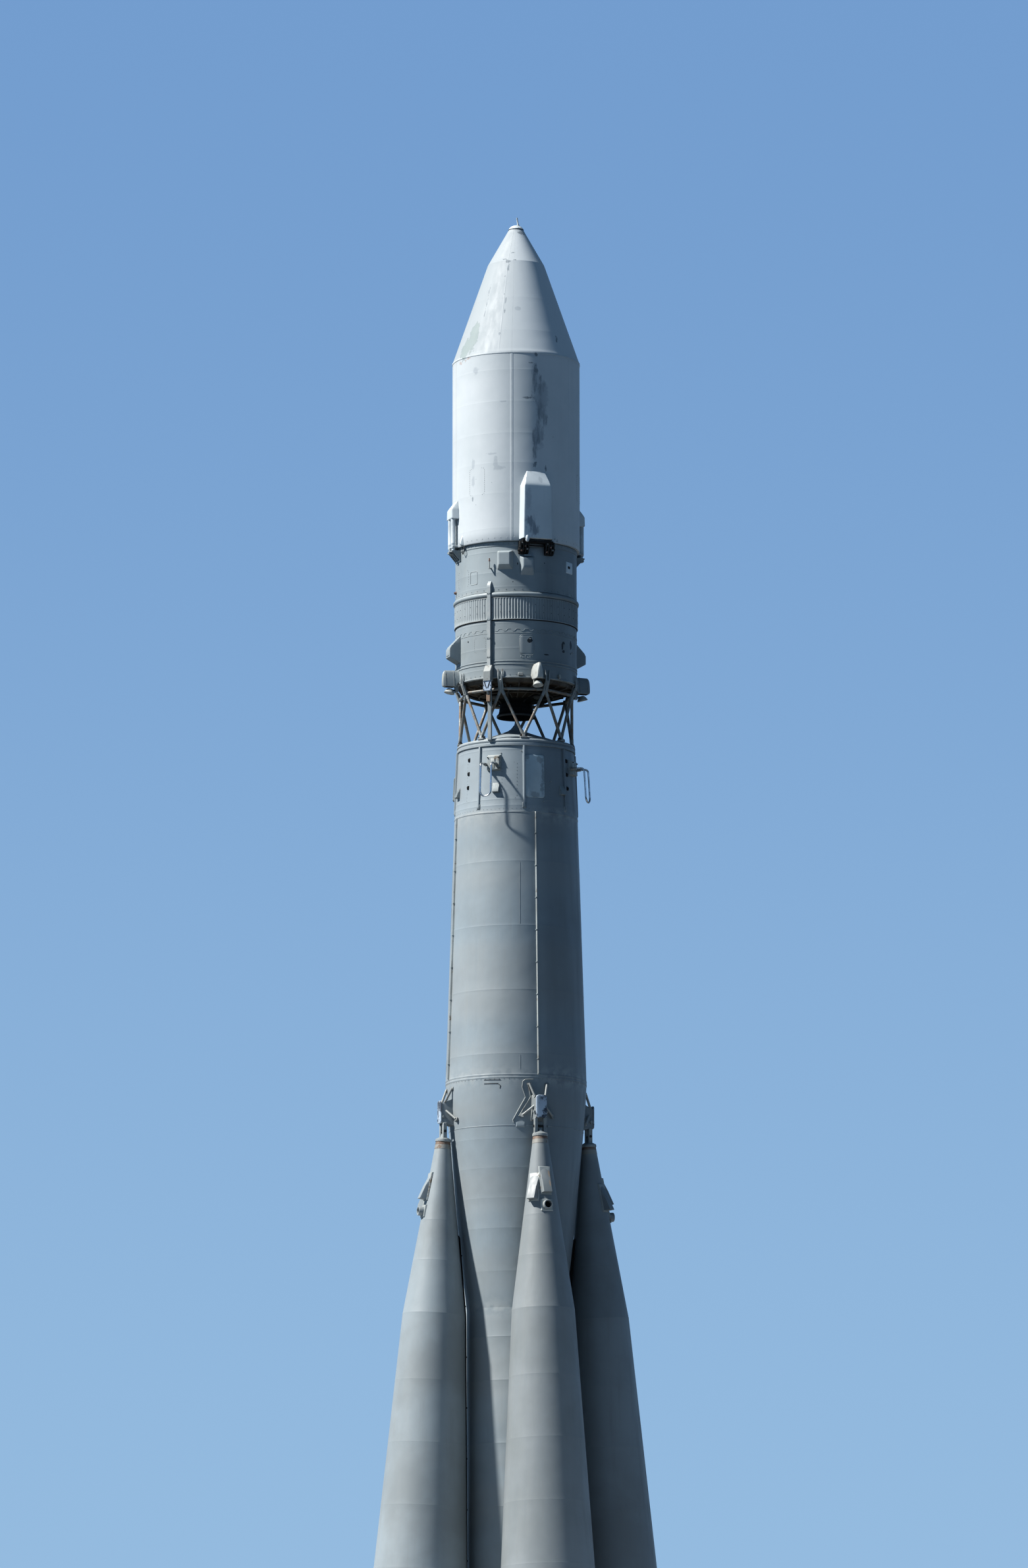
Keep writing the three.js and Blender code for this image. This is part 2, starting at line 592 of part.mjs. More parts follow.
for (const { name, turn } of PLANES) {
  const stand = boosterPlace(turn);

  // Oxidizer tank with its long nose cone and two instrument blisters on the outer side.
  const tank = turnedSolid([
    [BOOSTER_TANK_JOINT.radius, BOOSTER_TANK_JOINT.height + SEAT],
    [BOOSTER_SHOULDER.radius, BOOSTER_SHOULDER.height],
    [BOOSTER_NOSE_RADIUS, noseTop],
  ], BOOSTER_SIDES);
  const blisters = [[-47, 17150], [0, 17280]].map(([side, base]) => placed(plate([
    [180, base],
    [470, base],
    [470, base + 60],
    [290, base + 540],
    [180, base + 540],
  ], 210), turned(side)));
  const port = bar([200, 0, 17030], [470, 0, 17030], 98, BELL_SIDES);
  add(`booster_${name}_oxidizer_tank`, placed(join([tank, ...blisters, port]), stand), GREY_PAINT);

  const fuelTank = turnedSolid([
    [BOOSTER_RADIUS, BOOSTER_CYLINDER_TOP - 900 + SEAT],
    [BOOSTER_RADIUS, BOOSTER_CYLINDER_TOP],
    [BOOSTER_TANK_JOINT.radius, BOOSTER_TANK_JOINT.height],
  ], BOOSTER_SIDES);
  add(`booster_${name}_fuel_tank`, placed(fuelTank, stand), GREY_PAINT);

  // Tail section: skirt, fin root, steering brackets and two ties to the core.
  const skirt = turnedSolid([
    [BOOSTER_RADIUS - 30, BOOSTER_TAIL_BASE],
    [BOOSTER_RADIUS, BOOSTER_TAIL_BASE + 60],
    [BOOSTER_RADIUS, BOOSTER_CYLINDER_TOP - 900],
  ], BOOSTER_SIDES);
  const finRoot = plate([
    [BOOSTER_RADIUS - 80, 760],
    [RUDDER.boss, 800],
    [RUDDER.boss, 1350],
    [BOOSTER_RADIUS + 60, 1950],
    [BOOSTER_RADIUS - 80, 2150],
  ], 130);
  const brackets = BOOSTER_STEER.turns.map((side) => placed(plate([
    [BOOSTER_STEER.boss - 70, BOOSTER_STEER.hinge - 50],
    [BOOSTER_STEER.boss, BOOSTER_STEER.hinge - 50],
    [BOOSTER_STEER.boss, BOOSTER_TAIL_BASE + 30],
    [BOOSTER_STEER.boss - 70, BOOSTER_TAIL_BASE + 30],
  ], 110), turned(side)));
  const tail = placed(join([skirt, finRoot, ...brackets]), stand);
  const ties = [-330, 330].map((y) => placed(block(620, 90, 130, 1180, y, 1900), turned(turn)));
  const tiesCut = join(ties).subtract(coreRoom);
  add(`booster_${name}_tail`, tail.add(tiesCut), GREY_PAINT);

  const engineSpot = turned(turn).multiply(moved(ENGINE_OUT, 0, 0));
  const upright = placed(engine(BOOSTER_TAIL_BASE, 0, 930), engineSpot);
  add(`booster_${name}_engine`, upright.subtract(placed(roof(BOOSTER_TAIL_BASE), stand)), BELL_METAL);

  // Air rudder: a swept fin that turns on a pin in the fin root.
  const rudderPin = bar([RUDDER.boss + SEAT, 0, RUDDER.hinge], [RUDDER.root + 120, 0, RUDDER.hinge], 40);
  const blade = plate([
    [RUDDER.root, 830],
    [RUDDER.tip, 830],
    [RUDDER.tip, 1120],
    [RUDDER.root, 1480],
  ], 90);
  add(`booster_${name}_rudder`, placed(blade.add(rudderPin), stand), GREY_PAINT);

  BOOSTER_STEER.turns.forEach((side, i) => {
    const chamber = placed(steeringChamber(BOOSTER_STEER.boss, BOOSTER_STEER.hinge), turned(side));
    add(`booster_${name}_steering_chamber_${i + 1}`, placed(chamber, stand), BELL_METAL);
  });

  // Nose fitting: the fork on the booster's tip, the faceted thrust box and its bracing tubes.
  const thrustBox = plate([
    [1380, 18820],
    [1600, 18820],
    [THRUST_FACE, 18900],
    [THRUST_FACE, 19250],
    [1600, 19370],
    [1380, 19370],
  ], 300);
  const fork = [-70, 70].map((y) => block(75, 60, 350, BOOSTER_NOSE_OUT, y, BOOSTER_NOSE_HEIGHT + 230));
  const collar = placed(turnedSolid([[165, noseTop + SEAT], [165, noseTop + 80]], BELL_SIDES), stand);
  const tubes = [
    [[1600, -110, 19300], [1460, -195, 19610]],
    [[1600, 110, 19300], [1460, 195, 19610]],
    [[1570, -110, 19130], [1425, -330, 18930]],
    [[1570, 110, 19130], [1425, 330, 18930]],
  ].map(([from, to]) => bar(from, to, 28));
  const fittingBody = placed(join([thrustBox, ...fork, ...tubes]), turned(turn)).add(collar).subtract(coreRoom);
  add(`booster_${name}_nose_fitting`, fittingBody, GREY_PAINT);
}

export default rocket;
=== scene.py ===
# %% [markdown]
# # A three-stage space rocket on display
# The rocket stands on the rims of its strap-on engines and is seen from below, with the sun on its left.
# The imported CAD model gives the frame: every place and every moving body comes from it.
# Each piece below is a surface worked out with numpy on a grid, put into a mesh, and tied to its body.

import math

import bpy
import numpy as np
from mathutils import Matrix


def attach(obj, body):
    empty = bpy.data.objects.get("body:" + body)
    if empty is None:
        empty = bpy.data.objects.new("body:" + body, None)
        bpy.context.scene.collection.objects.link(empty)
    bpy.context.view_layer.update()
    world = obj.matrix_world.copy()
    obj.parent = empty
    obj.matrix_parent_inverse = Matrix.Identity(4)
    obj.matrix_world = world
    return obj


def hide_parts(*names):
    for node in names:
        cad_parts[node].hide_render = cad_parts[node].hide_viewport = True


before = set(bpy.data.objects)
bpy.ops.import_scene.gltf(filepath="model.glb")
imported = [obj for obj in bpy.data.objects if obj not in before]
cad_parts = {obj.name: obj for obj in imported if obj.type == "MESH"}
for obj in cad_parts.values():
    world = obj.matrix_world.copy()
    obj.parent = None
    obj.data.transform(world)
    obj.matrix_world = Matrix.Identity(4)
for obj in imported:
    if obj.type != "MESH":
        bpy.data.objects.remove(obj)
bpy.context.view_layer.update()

# %% [markdown]
# ## Heights and radii
# A rocket is mostly bodies of revolution, so a short list of heights and radii sets nearly everything.
# They are the same metres that the CAD uses. Turns are degrees from the front booster, growing to the right.

# %% Driving dimensions
PIN_TIP, NOSE_CAP_TOP, NOSE_CAP_BASE, NOSE_CAP_RADIUS = 38.36, 38.19, 38.08, 0.157
CONE_JOINT, CONE_JOINT_RADIUS = 37.29, 0.604
SHOULDER, FAIRING_BASE, FAIRING_RADIUS = 35.15, 31.08, 1.35
RING_TOP, BAND_BASE, AFT_SKIRT_BASE = 30.01, 29.405, 28.17
STAGE_RADIUS, BAND_RADIUS = 1.283, 1.305
FLANGE_BASE, FLANGE_RADIUS = 26.74, 1.25
BAY_BASE, BAY_BASE_RADIUS, BAY_TOP_RADIUS = 25.35, 1.296, 1.225
WAIST, WAIST_RADIUS = 19.76, 1.475
CORE_NECK, CORE_TAIL_BASE, CORE_TAIL_RADIUS = 15.0, 0.62, 1.025
SEAT = 0.0003
BARREL_SIDES, BOOSTER_SIDES = 144, 128
FRONT = -90.0
PLANES = {"front": 0.0, "right": 90.0, "rear": 180.0, "left": 270.0}
SEAM_TURN, DUCT_TURN, FOOT_TURN = -22.0, -43.5, -10.5
HOOP_TURNS = {"front": -39.5, "right": 50.5}
CHAMBER_TURNS = (45.0, 135.0, 225.0, 315.0)
WAIST_PROFILE = [
    (CORE_TAIL_RADIUS, CORE_NECK), (1.212, 16.63), (1.408, 18.73), (1.455, 19.28), (WAIST_RADIUS, WAIST)
]

BOOSTER_FOOT, BOOSTER_NOSE_OUT, BOOSTER_NOSE_HEIGHT = 2.6, 1.6, 18.48
BOOSTER_RADIUS, BOOSTER_NOSE_RADIUS, BOOSTER_TAIL_BASE = 1.34, 0.15, 0.56
BOOSTER_LEAN = math.atan((BOOSTER_FOOT - BOOSTER_NOSE_OUT) / BOOSTER_NOSE_HEIGHT)
BOOSTER_NOSE_TOP = BOOSTER_NOSE_HEIGHT / math.cos(BOOSTER_LEAN)
BOOSTER_SHOULDER, BOOSTER_SHOULDER_RADIUS = 14.89, 0.65
BOOSTER_JOINT, BOOSTER_JOINT_RADIUS = 8.3, 1.039
BOOSTER_STRAIGHT_TOP, BOOSTER_TAIL_TOP = 3.2, 2.3


def core_radius(z):
    """Radius of the core's skin at a height: straight lines between the known heights."""
    heights = [h for _, h in WAIST_PROFILE] + [BAY_BASE, FLANGE_BASE]
    radii = [r for r, _ in WAIST_PROFILE] + [BAY_BASE_RADIUS, BAY_TOP_RADIUS]
    return np.interp(z, heights, radii)


def booster_radius(z):
    """Radius of a booster's skin at a distance up its own axis."""
    heights = [BOOSTER_STRAIGHT_TOP, BOOSTER_JOINT, BOOSTER_SHOULDER, BOOSTER_NOSE_TOP]
    radii = [BOOSTER_RADIUS, BOOSTER_JOINT_RADIUS, BOOSTER_SHOULDER_RADIUS, BOOSTER_NOSE_RADIUS]
    return np.interp(z, heights, radii)


print("booster lean", round(math.degrees(BOOSTER_LEAN), 3), "degrees")

# %% [markdown]
# ## The camera
# The photograph was taken from about 150 m away at eye height, with the camera tipped up a little.
# The camera comes first, so that each piece can be judged in the right frame as soon as it is made.

# %% Camera
CAMERA_DISTANCE, EYE_HEIGHT = 150.0, 1.6
CAMERA_TURN, CAMERA_TILT, CAMERA_YAW = 18.2, 9.2836, 0.0165
SENSOR, FRAME_HEIGHT_PX, FOCAL_PX = 36.0, 2380, 10953

heading = math.radians(CAMERA_TURN)
camera_data = bpy.data.cameras.new("camera")
camera = bpy.data.objects.new("camera", camera_data)
bpy.context.scene.collection.objects.link(camera)
camera.location = (-CAMERA_DISTANCE * math.sin(heading), -CAMERA_DISTANCE * math.cos(heading), EYE_HEIGHT)
camera.rotation_euler = (math.radians(90 + CAMERA_TILT), 0, math.radians(-CAMERA_TURN + CAMERA_YAW))
camera_data.sensor_width = SENSOR
camera_data.lens = FOCAL_PX / FRAME_HEIGHT_PX * SENSOR
camera_data.clip_start, camera_data.clip_end = 1.0, 600.0
bpy.context.scene.camera = camera
print("camera lens", round(camera_data.lens, 1), "mm")

# %% [markdown]
# ## Grids, shells and turned bodies
# Blender could turn a profile with its Screw modifier, or loft curves. Here a surface is an array of points
# instead: rows along the profile, columns round the axis. Four neighbours make a face, so no loop is needed.
# A shape is (points, faces, finish numbers). A face of three corners repeats its last corner.

# %% Shapes from grids
def shape(points, faces, finish=0):
    """A shape from its points, its four-cornered faces and the number of its finish."""
    points = np.asarray(points, float).reshape(-1, 3)
    faces = np.asarray(faces, int).reshape(-1, 4)
    return points, faces, np.full(len(faces), finish)


def together(*shapes):
    """Several shapes as one: points are stacked and each shape's face numbers move up by what came before."""
    before = np.cumsum([0] + [len(points) for points, _, _ in shapes[:-1]])
    return (
        np.concatenate([points for points, _, _ in shapes]),
        np.concatenate([faces + start for (_, faces, _), start in zip(shapes, before)]),
        np.concatenate([finish for _, _, finish in shapes])
    )


def grid_faces(rows, columns, wrap_rows=False, wrap_columns=False):
    """Faces between neighbours of a grid, one for each cell, closed round where it wraps."""
    r, c = np.meshgrid(
        np.arange(rows - (not wrap_rows)), np.arange(columns - (not wrap_columns)), indexing="ij"
    )
    up, right = (r + 1) % rows, (c + 1) % columns
    return np.stack([
        r * columns + c, r * columns + right, up * columns + right, up * columns + c
    ], -1).reshape(-1, 4)


def fan(ring, middle, turned=False):
    """Triangles from each side of a ring of point numbers to a middle one; turned ones face the other way."""
    after, middle = np.roll(ring, -1), np.full(len(ring), middle)
    return np.stack([after, ring, middle, middle] if turned else [ring, after, middle, middle], -1)


def shell(outer, inner, finish=0):
    """A closed wall between two grids of points: outer faces, inner faces turned round, and a rim of both."""
    rows, columns = outer.shape[:2]
    count = rows * columns
    sheet = grid_faces(rows, columns)
    index = np.arange(count).reshape(rows, columns)
    rim = np.concatenate([index[0, :-1], index[:-1, -1], index[-1, :0:-1], index[:0:-1, 0]])
    after = np.roll(rim, -1)
    edge = np.stack([after, rim, rim + count, after + count], -1)
    points = np.concatenate([outer.reshape(-1, 3), inner.reshape(-1, 3)])
    return shape(points, np.concatenate([sheet, sheet[:, ::-1] + count, edge]), finish)


def circle(count):
    """So many angles round a full circle, in radians."""
    return np.linspace(0, 2 * np.pi, count, endpoint=False)


def around(radius, angle, height):
    """Points at a radius, an angle in radians and a height: x = r cos a, y = r sin a, z = h."""
    radius, angle, height = np.broadcast_arrays(radius, angle, height)
    return np.stack([radius * np.cos(angle), radius * np.sin(angle), height], -1)


def turned_body(profile, sides, ripple=None, finish=0):
    """A body of revolution: the profile's (radius, height) points carried round +Z, bottom to top outside.
    ripple(angle, row) may add a little to the radius. The profile closes on itself or ends on the axis."""
    profile = np.asarray(profile, float)
    angle = circle(sides)
    radius = np.repeat(profile[:, :1], sides, 1)
    if ripple is not None:
        radius = radius + ripple(angle[None, :], np.arange(len(profile))[:, None])
    points = around(radius, angle[None, :], profile[:, 1:])
    on_axis = profile[0, 0] == 0 and profile[-1, 0] == 0
    return shape(points, grid_faces(len(profile), sides, not on_axis, True), finish)


def changed(part, matrix):
    """The same shape moved by a 4x4 matrix."""
    points, faces, finish = part
    return points @ matrix[:3, :3].T + matrix[:3, 3], faces, finish


def move(x, y, z):
    """A 4x4 matrix that moves by x, y, z."""
    matrix = np.eye(4)
    matrix[:3, 3] = (x, y, z)
    return matrix


def turn_z(degrees):
    """A 4x4 matrix that turns about +Z."""
    c, s = math.cos(math.radians(degrees)), math.sin(math.radians(degrees))
    matrix = np.eye(4)
    matrix[:2, :2] = [[c, -s], [s, c]]
    return matrix


def turn_y(degrees):
    """A 4x4 matrix that turns about +Y, so that a positive angle tips +Z towards +X."""
    c, s = math.cos(math.radians(degrees)), math.sin(math.radians(degrees))
    matrix = np.eye(4)
    matrix[0, 0], matrix[0, 2], matrix[2, 0], matrix[2, 2] = c, s, -s, c
    return matrix


def facing(part, turn):
    """A shape made on the +X side, carried round the rocket to a turn from the front booster."""
    return changed(part, turn_z(FRONT + turn))


def again(part, turns):
    """The same shape at each of several turns."""
    return together(*[facing(part, turn) for turn in turns])


# %% [markdown]
# ## Furniture on the skin
# Boxes, hatches and blisters stand on a curved skin. Each is a height field: over a grid of (sideways, up)
# an outer surface stands out by some distance and an inner one lies just inside the skin.
# A soft minimum of flat planes gives a box with bevelled, slightly rounded edges.

# %% Height fields, tubes and studs
def soft_min(values, softness=0.006):
    """The least of several surfaces, rounded where two meet: -k log of the sum of exp(-value / k)."""
    stacked = np.stack(np.broadcast_arrays(*values))
    least = stacked.min(0)
    return least - softness * np.log(np.exp(-(stacked - least) / softness).sum(0))


def skin_depth(radius, y, sunk=0.004):
    """How far out a round skin lies at a sideways distance y: the square root of r squared less y squared."""
    return np.sqrt(np.maximum(radius**2 - y**2, 0)) - sunk


def skin_at(skin, heights):
    """The radius of a skin at each height, where the skin is one number or a function of height."""
    return skin(heights) if callable(skin) else np.full(np.shape(heights), skin)


def field(y, z, outer, inner, finish=0):
    """A closed block on the +X side with outer and inner distances over a grid of (sideways y, height z)."""
    return shell(np.stack([outer, y, z], -1), np.stack([inner, y, z], -1), finish)


def swept(path, radius, sides=8, closed=False, up=(0, 0, 1), finish=0):
    """A tube along a path: at each point a ring in the plane across the path, its first axis square to up."""
    path = np.asarray(path, float)
    if closed:
        along = np.roll(path, -1, 0) - np.roll(path, 1, 0)
    else:
        along = np.gradient(path, axis=0)
    along = along / np.linalg.norm(along, axis=1, keepdims=True)
    side = np.cross(along, np.asarray(up, float))
    side = side / np.linalg.norm(side, axis=1, keepdims=True)
    over = np.cross(side, along)
    angle = circle(sides)[None, :, None]
    thick = np.broadcast_to(np.asarray(radius, float), (len(path),))[:, None, None]
    ring = path[:, None] + thick * (np.cos(angle) * side[:, None] + np.sin(angle) * over[:, None])
    faces = grid_faces(len(path), sides, closed, True)[:, ::-1]
    if closed:
        return shape(ring, faces, finish)
    ends = np.array([path[0], path[-1]])
    first = np.arange(sides)
    last = first + (len(path) - 1) * sides
    count = len(path) * sides
    caps = [fan(first, count), fan(last, count + 1, True)]
    return shape(np.concatenate([ring.reshape(-1, 3), ends]), np.concatenate([faces, *caps]), finish)


def rods(starts, ends, radius, sides=10, finish=0, end_radius=None):
    """Straight round bars, one or many at once: two rings and two end points for each bar."""
    starts, ends = np.atleast_2d(np.asarray(starts, float)), np.atleast_2d(np.asarray(ends, float))
    count = len(starts)
    along = ends - starts
    along = along / np.linalg.norm(along, axis=1, keepdims=True)
    helper = np.where(np.abs(along[:, 2:]) > 0.9, [[1.0, 0, 0]], [[0, 0, 1.0]])
    side = np.cross(along, helper)
    side = side / np.linalg.norm(side, axis=1, keepdims=True)
    over = np.cross(along, side)
    angle = circle(sides)[None, :, None]
    ring = np.cos(angle) * side[:, None] + np.sin(angle) * over[:, None]
    low = starts[:, None] + radius * ring
    high = ends[:, None] + (radius if end_radius is None else end_radius) * ring
    points = np.concatenate([low, high, starts[:, None], ends[:, None]], 1)
    foot = np.arange(sides)
    head = foot + sides
    one = np.concatenate([
        grid_faces(2, sides, False, True), fan(foot, 2 * sides, True), fan(head, 2 * sides + 1)
    ])
    faces = one[None] + (np.arange(count) * (2 * sides + 2))[:, None, None]
    return shape(points, faces, finish)


def bar(x, y, z, radius, sides=10, finish=0, end_radius=None):
    """One round bar. Each of x, y and z is a number, or its values at the two ends."""
    ends = np.stack([np.broadcast_to(value, 2) for value in (x, y, z)], -1)
    return rods(ends[0], ends[1], radius, sides, finish, end_radius)


def studs(turns, heights, skin, radius, tall, sides=6, finish=0):
    """Rivet and bolt heads on a skin: short tapered bars that point straight out."""
    turns, heights = np.broadcast_arrays(np.asarray(turns, float), np.asarray(heights, float))
    skins = skin_at(skin, heights)
    angle = np.radians(FRONT + turns)
    starts, ends = around(skins - 0.004, angle, heights), around(skins + tall, angle, heights)
    return rods(starts.reshape(-1, 3), ends.reshape(-1, 3), radius, sides, finish, radius * 0.7)


def frame_path(turn, z, half_width, half_height, corner, skin, steps=6):
    """A rounded rectangle laid on a skin: straight sides joined by quarter circles."""
    quarter = np.linspace(0, np.pi / 2, steps)
    centres = [(1, 1, 0), (-1, 1, 1), (-1, -1, 2), (1, -1, 3)]
    across = np.concatenate([
        sx * (half_width - corner) + corner * np.cos(quarter + k * np.pi / 2) for sx, _, k in centres
    ])
    up = np.concatenate([
        sz * (half_height - corner) + corner * np.sin(quarter + k * np.pi / 2) for _, sz, k in centres
    ])
    heights = z + up
    skins = skin_at(skin, heights)
    return around(skins, np.radians(FRONT + turn) + across / skins, heights)


def bead(path, radius=0.007, finish=0):
    """A weld bead or raised edge: a thin closed tube laid along a frame path on a skin."""
    return swept(path, radius, 6, True, (0.02, 0.03, 1.0), finish)


def skin_line(turns, heights, skin, radius=0.008, sides=6, finish=0):
    """A thin tube laid on a skin through points given as turns and heights, with its corners rounded."""
    turns, heights = np.asarray(turns, float), np.asarray(heights, float)
    t = np.linspace(0, len(turns) - 1, 8 * (len(turns) - 1) + 1)
    turn, height = np.interp(t, np.arange(len(turns)), turns), np.interp(t, np.arange(len(turns)), heights)
    skins = skin_at(skin, height) + radius * 0.6
    return swept(
        around(skins, np.radians(FRONT + turn), height), radius, sides, False, (0.3, 0.2, 0.1), finish
    )


def lofted(rings, finish=0):
    """A skin over closed rings that follow each other along +X, with a flat fan at each end."""
    rings = np.stack(rings)
    count, sides = rings.shape[:2]
    faces = grid_faces(count, sides, False, True)
    first = np.arange(sides)
    last = first + (count - 1) * sides
    total = count * sides
    ends = [fan(first, total, True), fan(last, total + 1)]
    middles = rings.mean(1)[[0, -1]]
    return shape(np.concatenate([rings.reshape(-1, 3), middles]), np.concatenate([faces, *ends]), finish)


def flat_plate(outline, half_width, finish=0):
    """A plate cut to an outline of (x, z) points, anticlockwise from the -Y side, half_width each way."""
    outline = np.asarray(outline, float)
    count = len(outline)
    front = np.stack([outline[:, 0], np.full(count, -half_width), outline[:, 1]], -1)
    back = front * [1, -1, 1]
    middle = np.array([outline[:, 0].mean(), 0, outline[:, 1].mean()])
    near = np.arange(count)
    after = np.roll(near, -1)
    faces = np.concatenate([
        np.stack([after, near, near + count, after + count], -1),
        fan(near, 2 * count),
        fan(near + count, 2 * count + 1, True)
    ])
    points = np.concatenate([front, back, [middle - [0, half_width, 0]], [middle + [0, half_width, 0]]])
    return shape(points, faces, finish)


def block(x, y, z, round_by=0.006, finish=0):
    """A box between limits with its edges cut: eight-sided rings at four depths, closed by end fans."""
    (x0, x1), (y0, y1), (z0, z1) = x, y, z
    c = round_by
    rings = []
    for px, inset in ((x0, c), (x0 + c, 0), (x1 - c, 0), (x1, c)):
        ya, yb, za, zb = y0 + inset, y1 - inset, z0 + inset, z1 - inset
        section = [
            (yb, za + c), (yb, zb - c), (yb - c, zb), (ya + c, zb), (ya, zb - c), (ya, za + c), (ya + c, za),
            (yb - c, za)
        ]
        rings.append(np.array([(px, sy, sz) for sy, sz in section]))
    return lofted(rings, finish)


# %% [markdown]
# ## From shape to Blender object
# The points go into a mesh with foreach_set. Points that fall together at a pole are merged first, so that
# every fan closes. Smooth shading with sharp edges marked by angle keeps round skins round and edges crisp.

# %% Make an object from a shape
CREASE = 32
added_triangles = 0


def merged(part):
    """Points closer than a hundredth of a millimetre become one, and faces without an area are dropped."""
    points, faces, finish = part
    _, first, index = np.unique(np.round(points, 5), axis=0, return_index=True, return_inverse=True)
    faces = index.reshape(-1)[faces]
    for one, other, left in ((0, 1, [1, 2, 3, 3]), (1, 2, [0, 1, 3, 3]), (3, 0, [0, 1, 2, 2])):
        faces = np.where((faces[:, one] == faces[:, other])[:, None], faces[:, left], faces)
    a, b, c, _ = faces.T
    keep = (a != b) & (b != c) & (c != a)
    return points[first], faces[keep], finish[keep]


def piece(name, parts, finishes, stands_for, body="airframe"):
    """An object from shapes: mesh data by foreach_set, smooth shading, finishes and its body; the CAD part it
    stands for is hidden.
    """
    global added_triangles
    points, faces, finish = together(*[merged(part) for part in parts])
    three = faces[:, 2] == faces[:, 3]
    sizes = np.where(three, 3, 4)
    corners = faces[np.arange(4)[None, :] < sizes[:, None]]
    mesh = bpy.data.meshes.new(name)
    mesh.vertices.add(len(points))
    mesh.vertices.foreach_set("co", points.astype(np.float32).ravel())
    mesh.loops.add(len(corners))
    mesh.loops.foreach_set("vertex_index", corners.astype(np.int32))
    mesh.polygons.add(len(faces))
    mesh.polygons.foreach_set("loop_start", (np.cumsum(sizes) - sizes).astype(np.int32))
    for material in finishes:
        mesh.materials.append(material)
    mesh.polygons.foreach_set("material_index", np.minimum(finish, len(finishes) - 1).astype(np.int32))
    mesh.polygons.foreach_set("use_smooth", np.ones(len(faces), bool))
    mesh.update(calc_edges=True)
    mesh.validate()
    mesh.set_sharp_from_angle(angle=math.radians(CREASE))
    made = bpy.data.objects.new(name, mesh)
    bpy.context.scene.collection.objects.link(made)
    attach(made, body)
    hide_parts(stands_for)
    triangles = int((sizes - 2).sum())
    added_triangles += triangles
    print(f"{name}: {triangles} triangles")
    return made

# %% [markdown]
# ## Finishes
# The paint has stood outdoors for years: rain has drawn streaks down it, flakes have come off, and edges
# shine. Each finish is built from noise on Object coordinates, so it sits in the metal and moves with its
# piece. A few small methods add one node each, which keeps every finish readable as a short recipe.

# %% A small recipe book for materials
class Recipe:
    """A node tree being mixed: every method adds a node and gives back the socket it ends in."""

    def __init__(self, tree, coordinates):
        self.nodes, self.links = tree.nodes, tree.links
        self.place = self.add("TexCoord", {}, coordinates)
        self.add("SeparateXYZ", {0: self.place})
        self.x, self.y, self.z = self.nodes[-1].outputs

    def add(self, kind, values, out=0, **settings):
        """A node with its settings made and its inputs fed, each by its place or name."""
        node = self.nodes.new("ShaderNode" + kind)
        for name, value in settings.items():
            setattr(node, name, value)
        for name, value in values.items():
            self.feed(node.inputs[name], value)
        return node.outputs[out]

    def feed(self, socket, value):
        """Link a socket, or set a plain number or colour on it."""
        if isinstance(value, bpy.types.NodeSocket):
            self.links.new(value, socket)
        elif isinstance(value, tuple):
            socket.default_value = (*value, 1.0)[: len(socket.default_value)]
        else:
            socket.default_value = value

    def math(self, operation, a, b=0.0):
        return self.add("Math", {0: a, 1: b}, operation=operation)

    def times(self, a, b):
        return self.math("MULTIPLY", a, b)

    def stretched(self, x, y, z):
        """Object coordinates scaled on each axis, which draws noise out into streaks."""
        return self.add("Mapping", {"Vector": self.place, "Scale": (x, y, z)})

    def noise(self, scale, detail=4.0, rough=0.55, along=None):
        return self.add("TexNoise", {
            "Vector": along or self.place, "Scale": scale, "Detail": detail, "Roughness": rough
        })

    def step(self, value, low, high, out_low=0.0, out_high=1.0):
        """A smooth rise from out_low to out_high while the value goes from low to high."""
        numbers = dict(enumerate((value, low, high, out_low, out_high)))
        return self.add("MapRange", numbers, interpolation_type="SMOOTHSTEP")

    def mix(self, factor, a, b, way="MIX"):
        return self.add("Mix", {0: factor, 6: a, 7: b}, 2, data_type="RGBA", blend_type=way)

    def turn(self):
        """Degrees round the axis from the front, growing to the right: the arctangent of x over -y."""
        back = self.times(self.y, -1.0)
        return self.times(self.math("ARCTAN2", self.x, back), math.degrees(1))

    def near(self, value, centre, half, soft):
        """One within half of a centre, falling to nothing over a soft edge."""
        away = self.math("ABSOLUTE", self.math("SUBTRACT", value, centre))
        return self.step(away, half, half + soft, 1.0, 0.0)

    def blots(self, turn, places, ragged):
        """Above nothing inside ragged blots. Each place is (turn, height, half width, half height), the turns
        in degrees. The value is 1 less the distance to the nearest place, in its half sizes, plus noise."""
        here = self.add("CombineXYZ", {0: turn, 1: self.z})
        nearest = None
        for at_turn, at_height, half_turn, half_height in places:
            share = (1 / half_turn, 1 / half_height, 0)
            shift = (-at_turn / half_turn, -at_height / half_height, 0)
            scaled = self.add("VectorMath", {0: here, 1: share, 2: shift}, operation="MULTIPLY_ADD")
            away = self.add("VectorMath", {0: scaled}, "Value", operation="LENGTH")
            nearest = away if nearest is None else self.math("MINIMUM", nearest, away)
        return self.math("ADD", self.math("SUBTRACT", 1.0, nearest), ragged)

    def patch(self, tone, colour, turn, places, ragged, soft=0.5, most=0.6):
        """A tone with a colour mixed in inside ragged blots."""
        return self.mix(self.step(self.blots(turn, places, ragged), 0.0, soft, 0.0, most), tone, colour)

    def ragged(self, scale, amount, along=None):
        """Noise about nothing, which breaks up the edge of a blot."""
        return self.times(self.math("SUBTRACT", self.noise(scale, 6.0, 0.7, along), 0.5), amount)

    def edges(self):
        """Bright where the surface bends outwards: worn edges and rims."""
        return self.step(self.add("NewGeometry", {}, "Pointiness"), 0.515, 0.59)

    # Painted shade: dark where the surface bends inwards, in creases and corners.
    def crease_shade(self):
        return self.step(self.add("NewGeometry", {}, "Pointiness"), 0.42, 0.49, 1.0, 0.0)


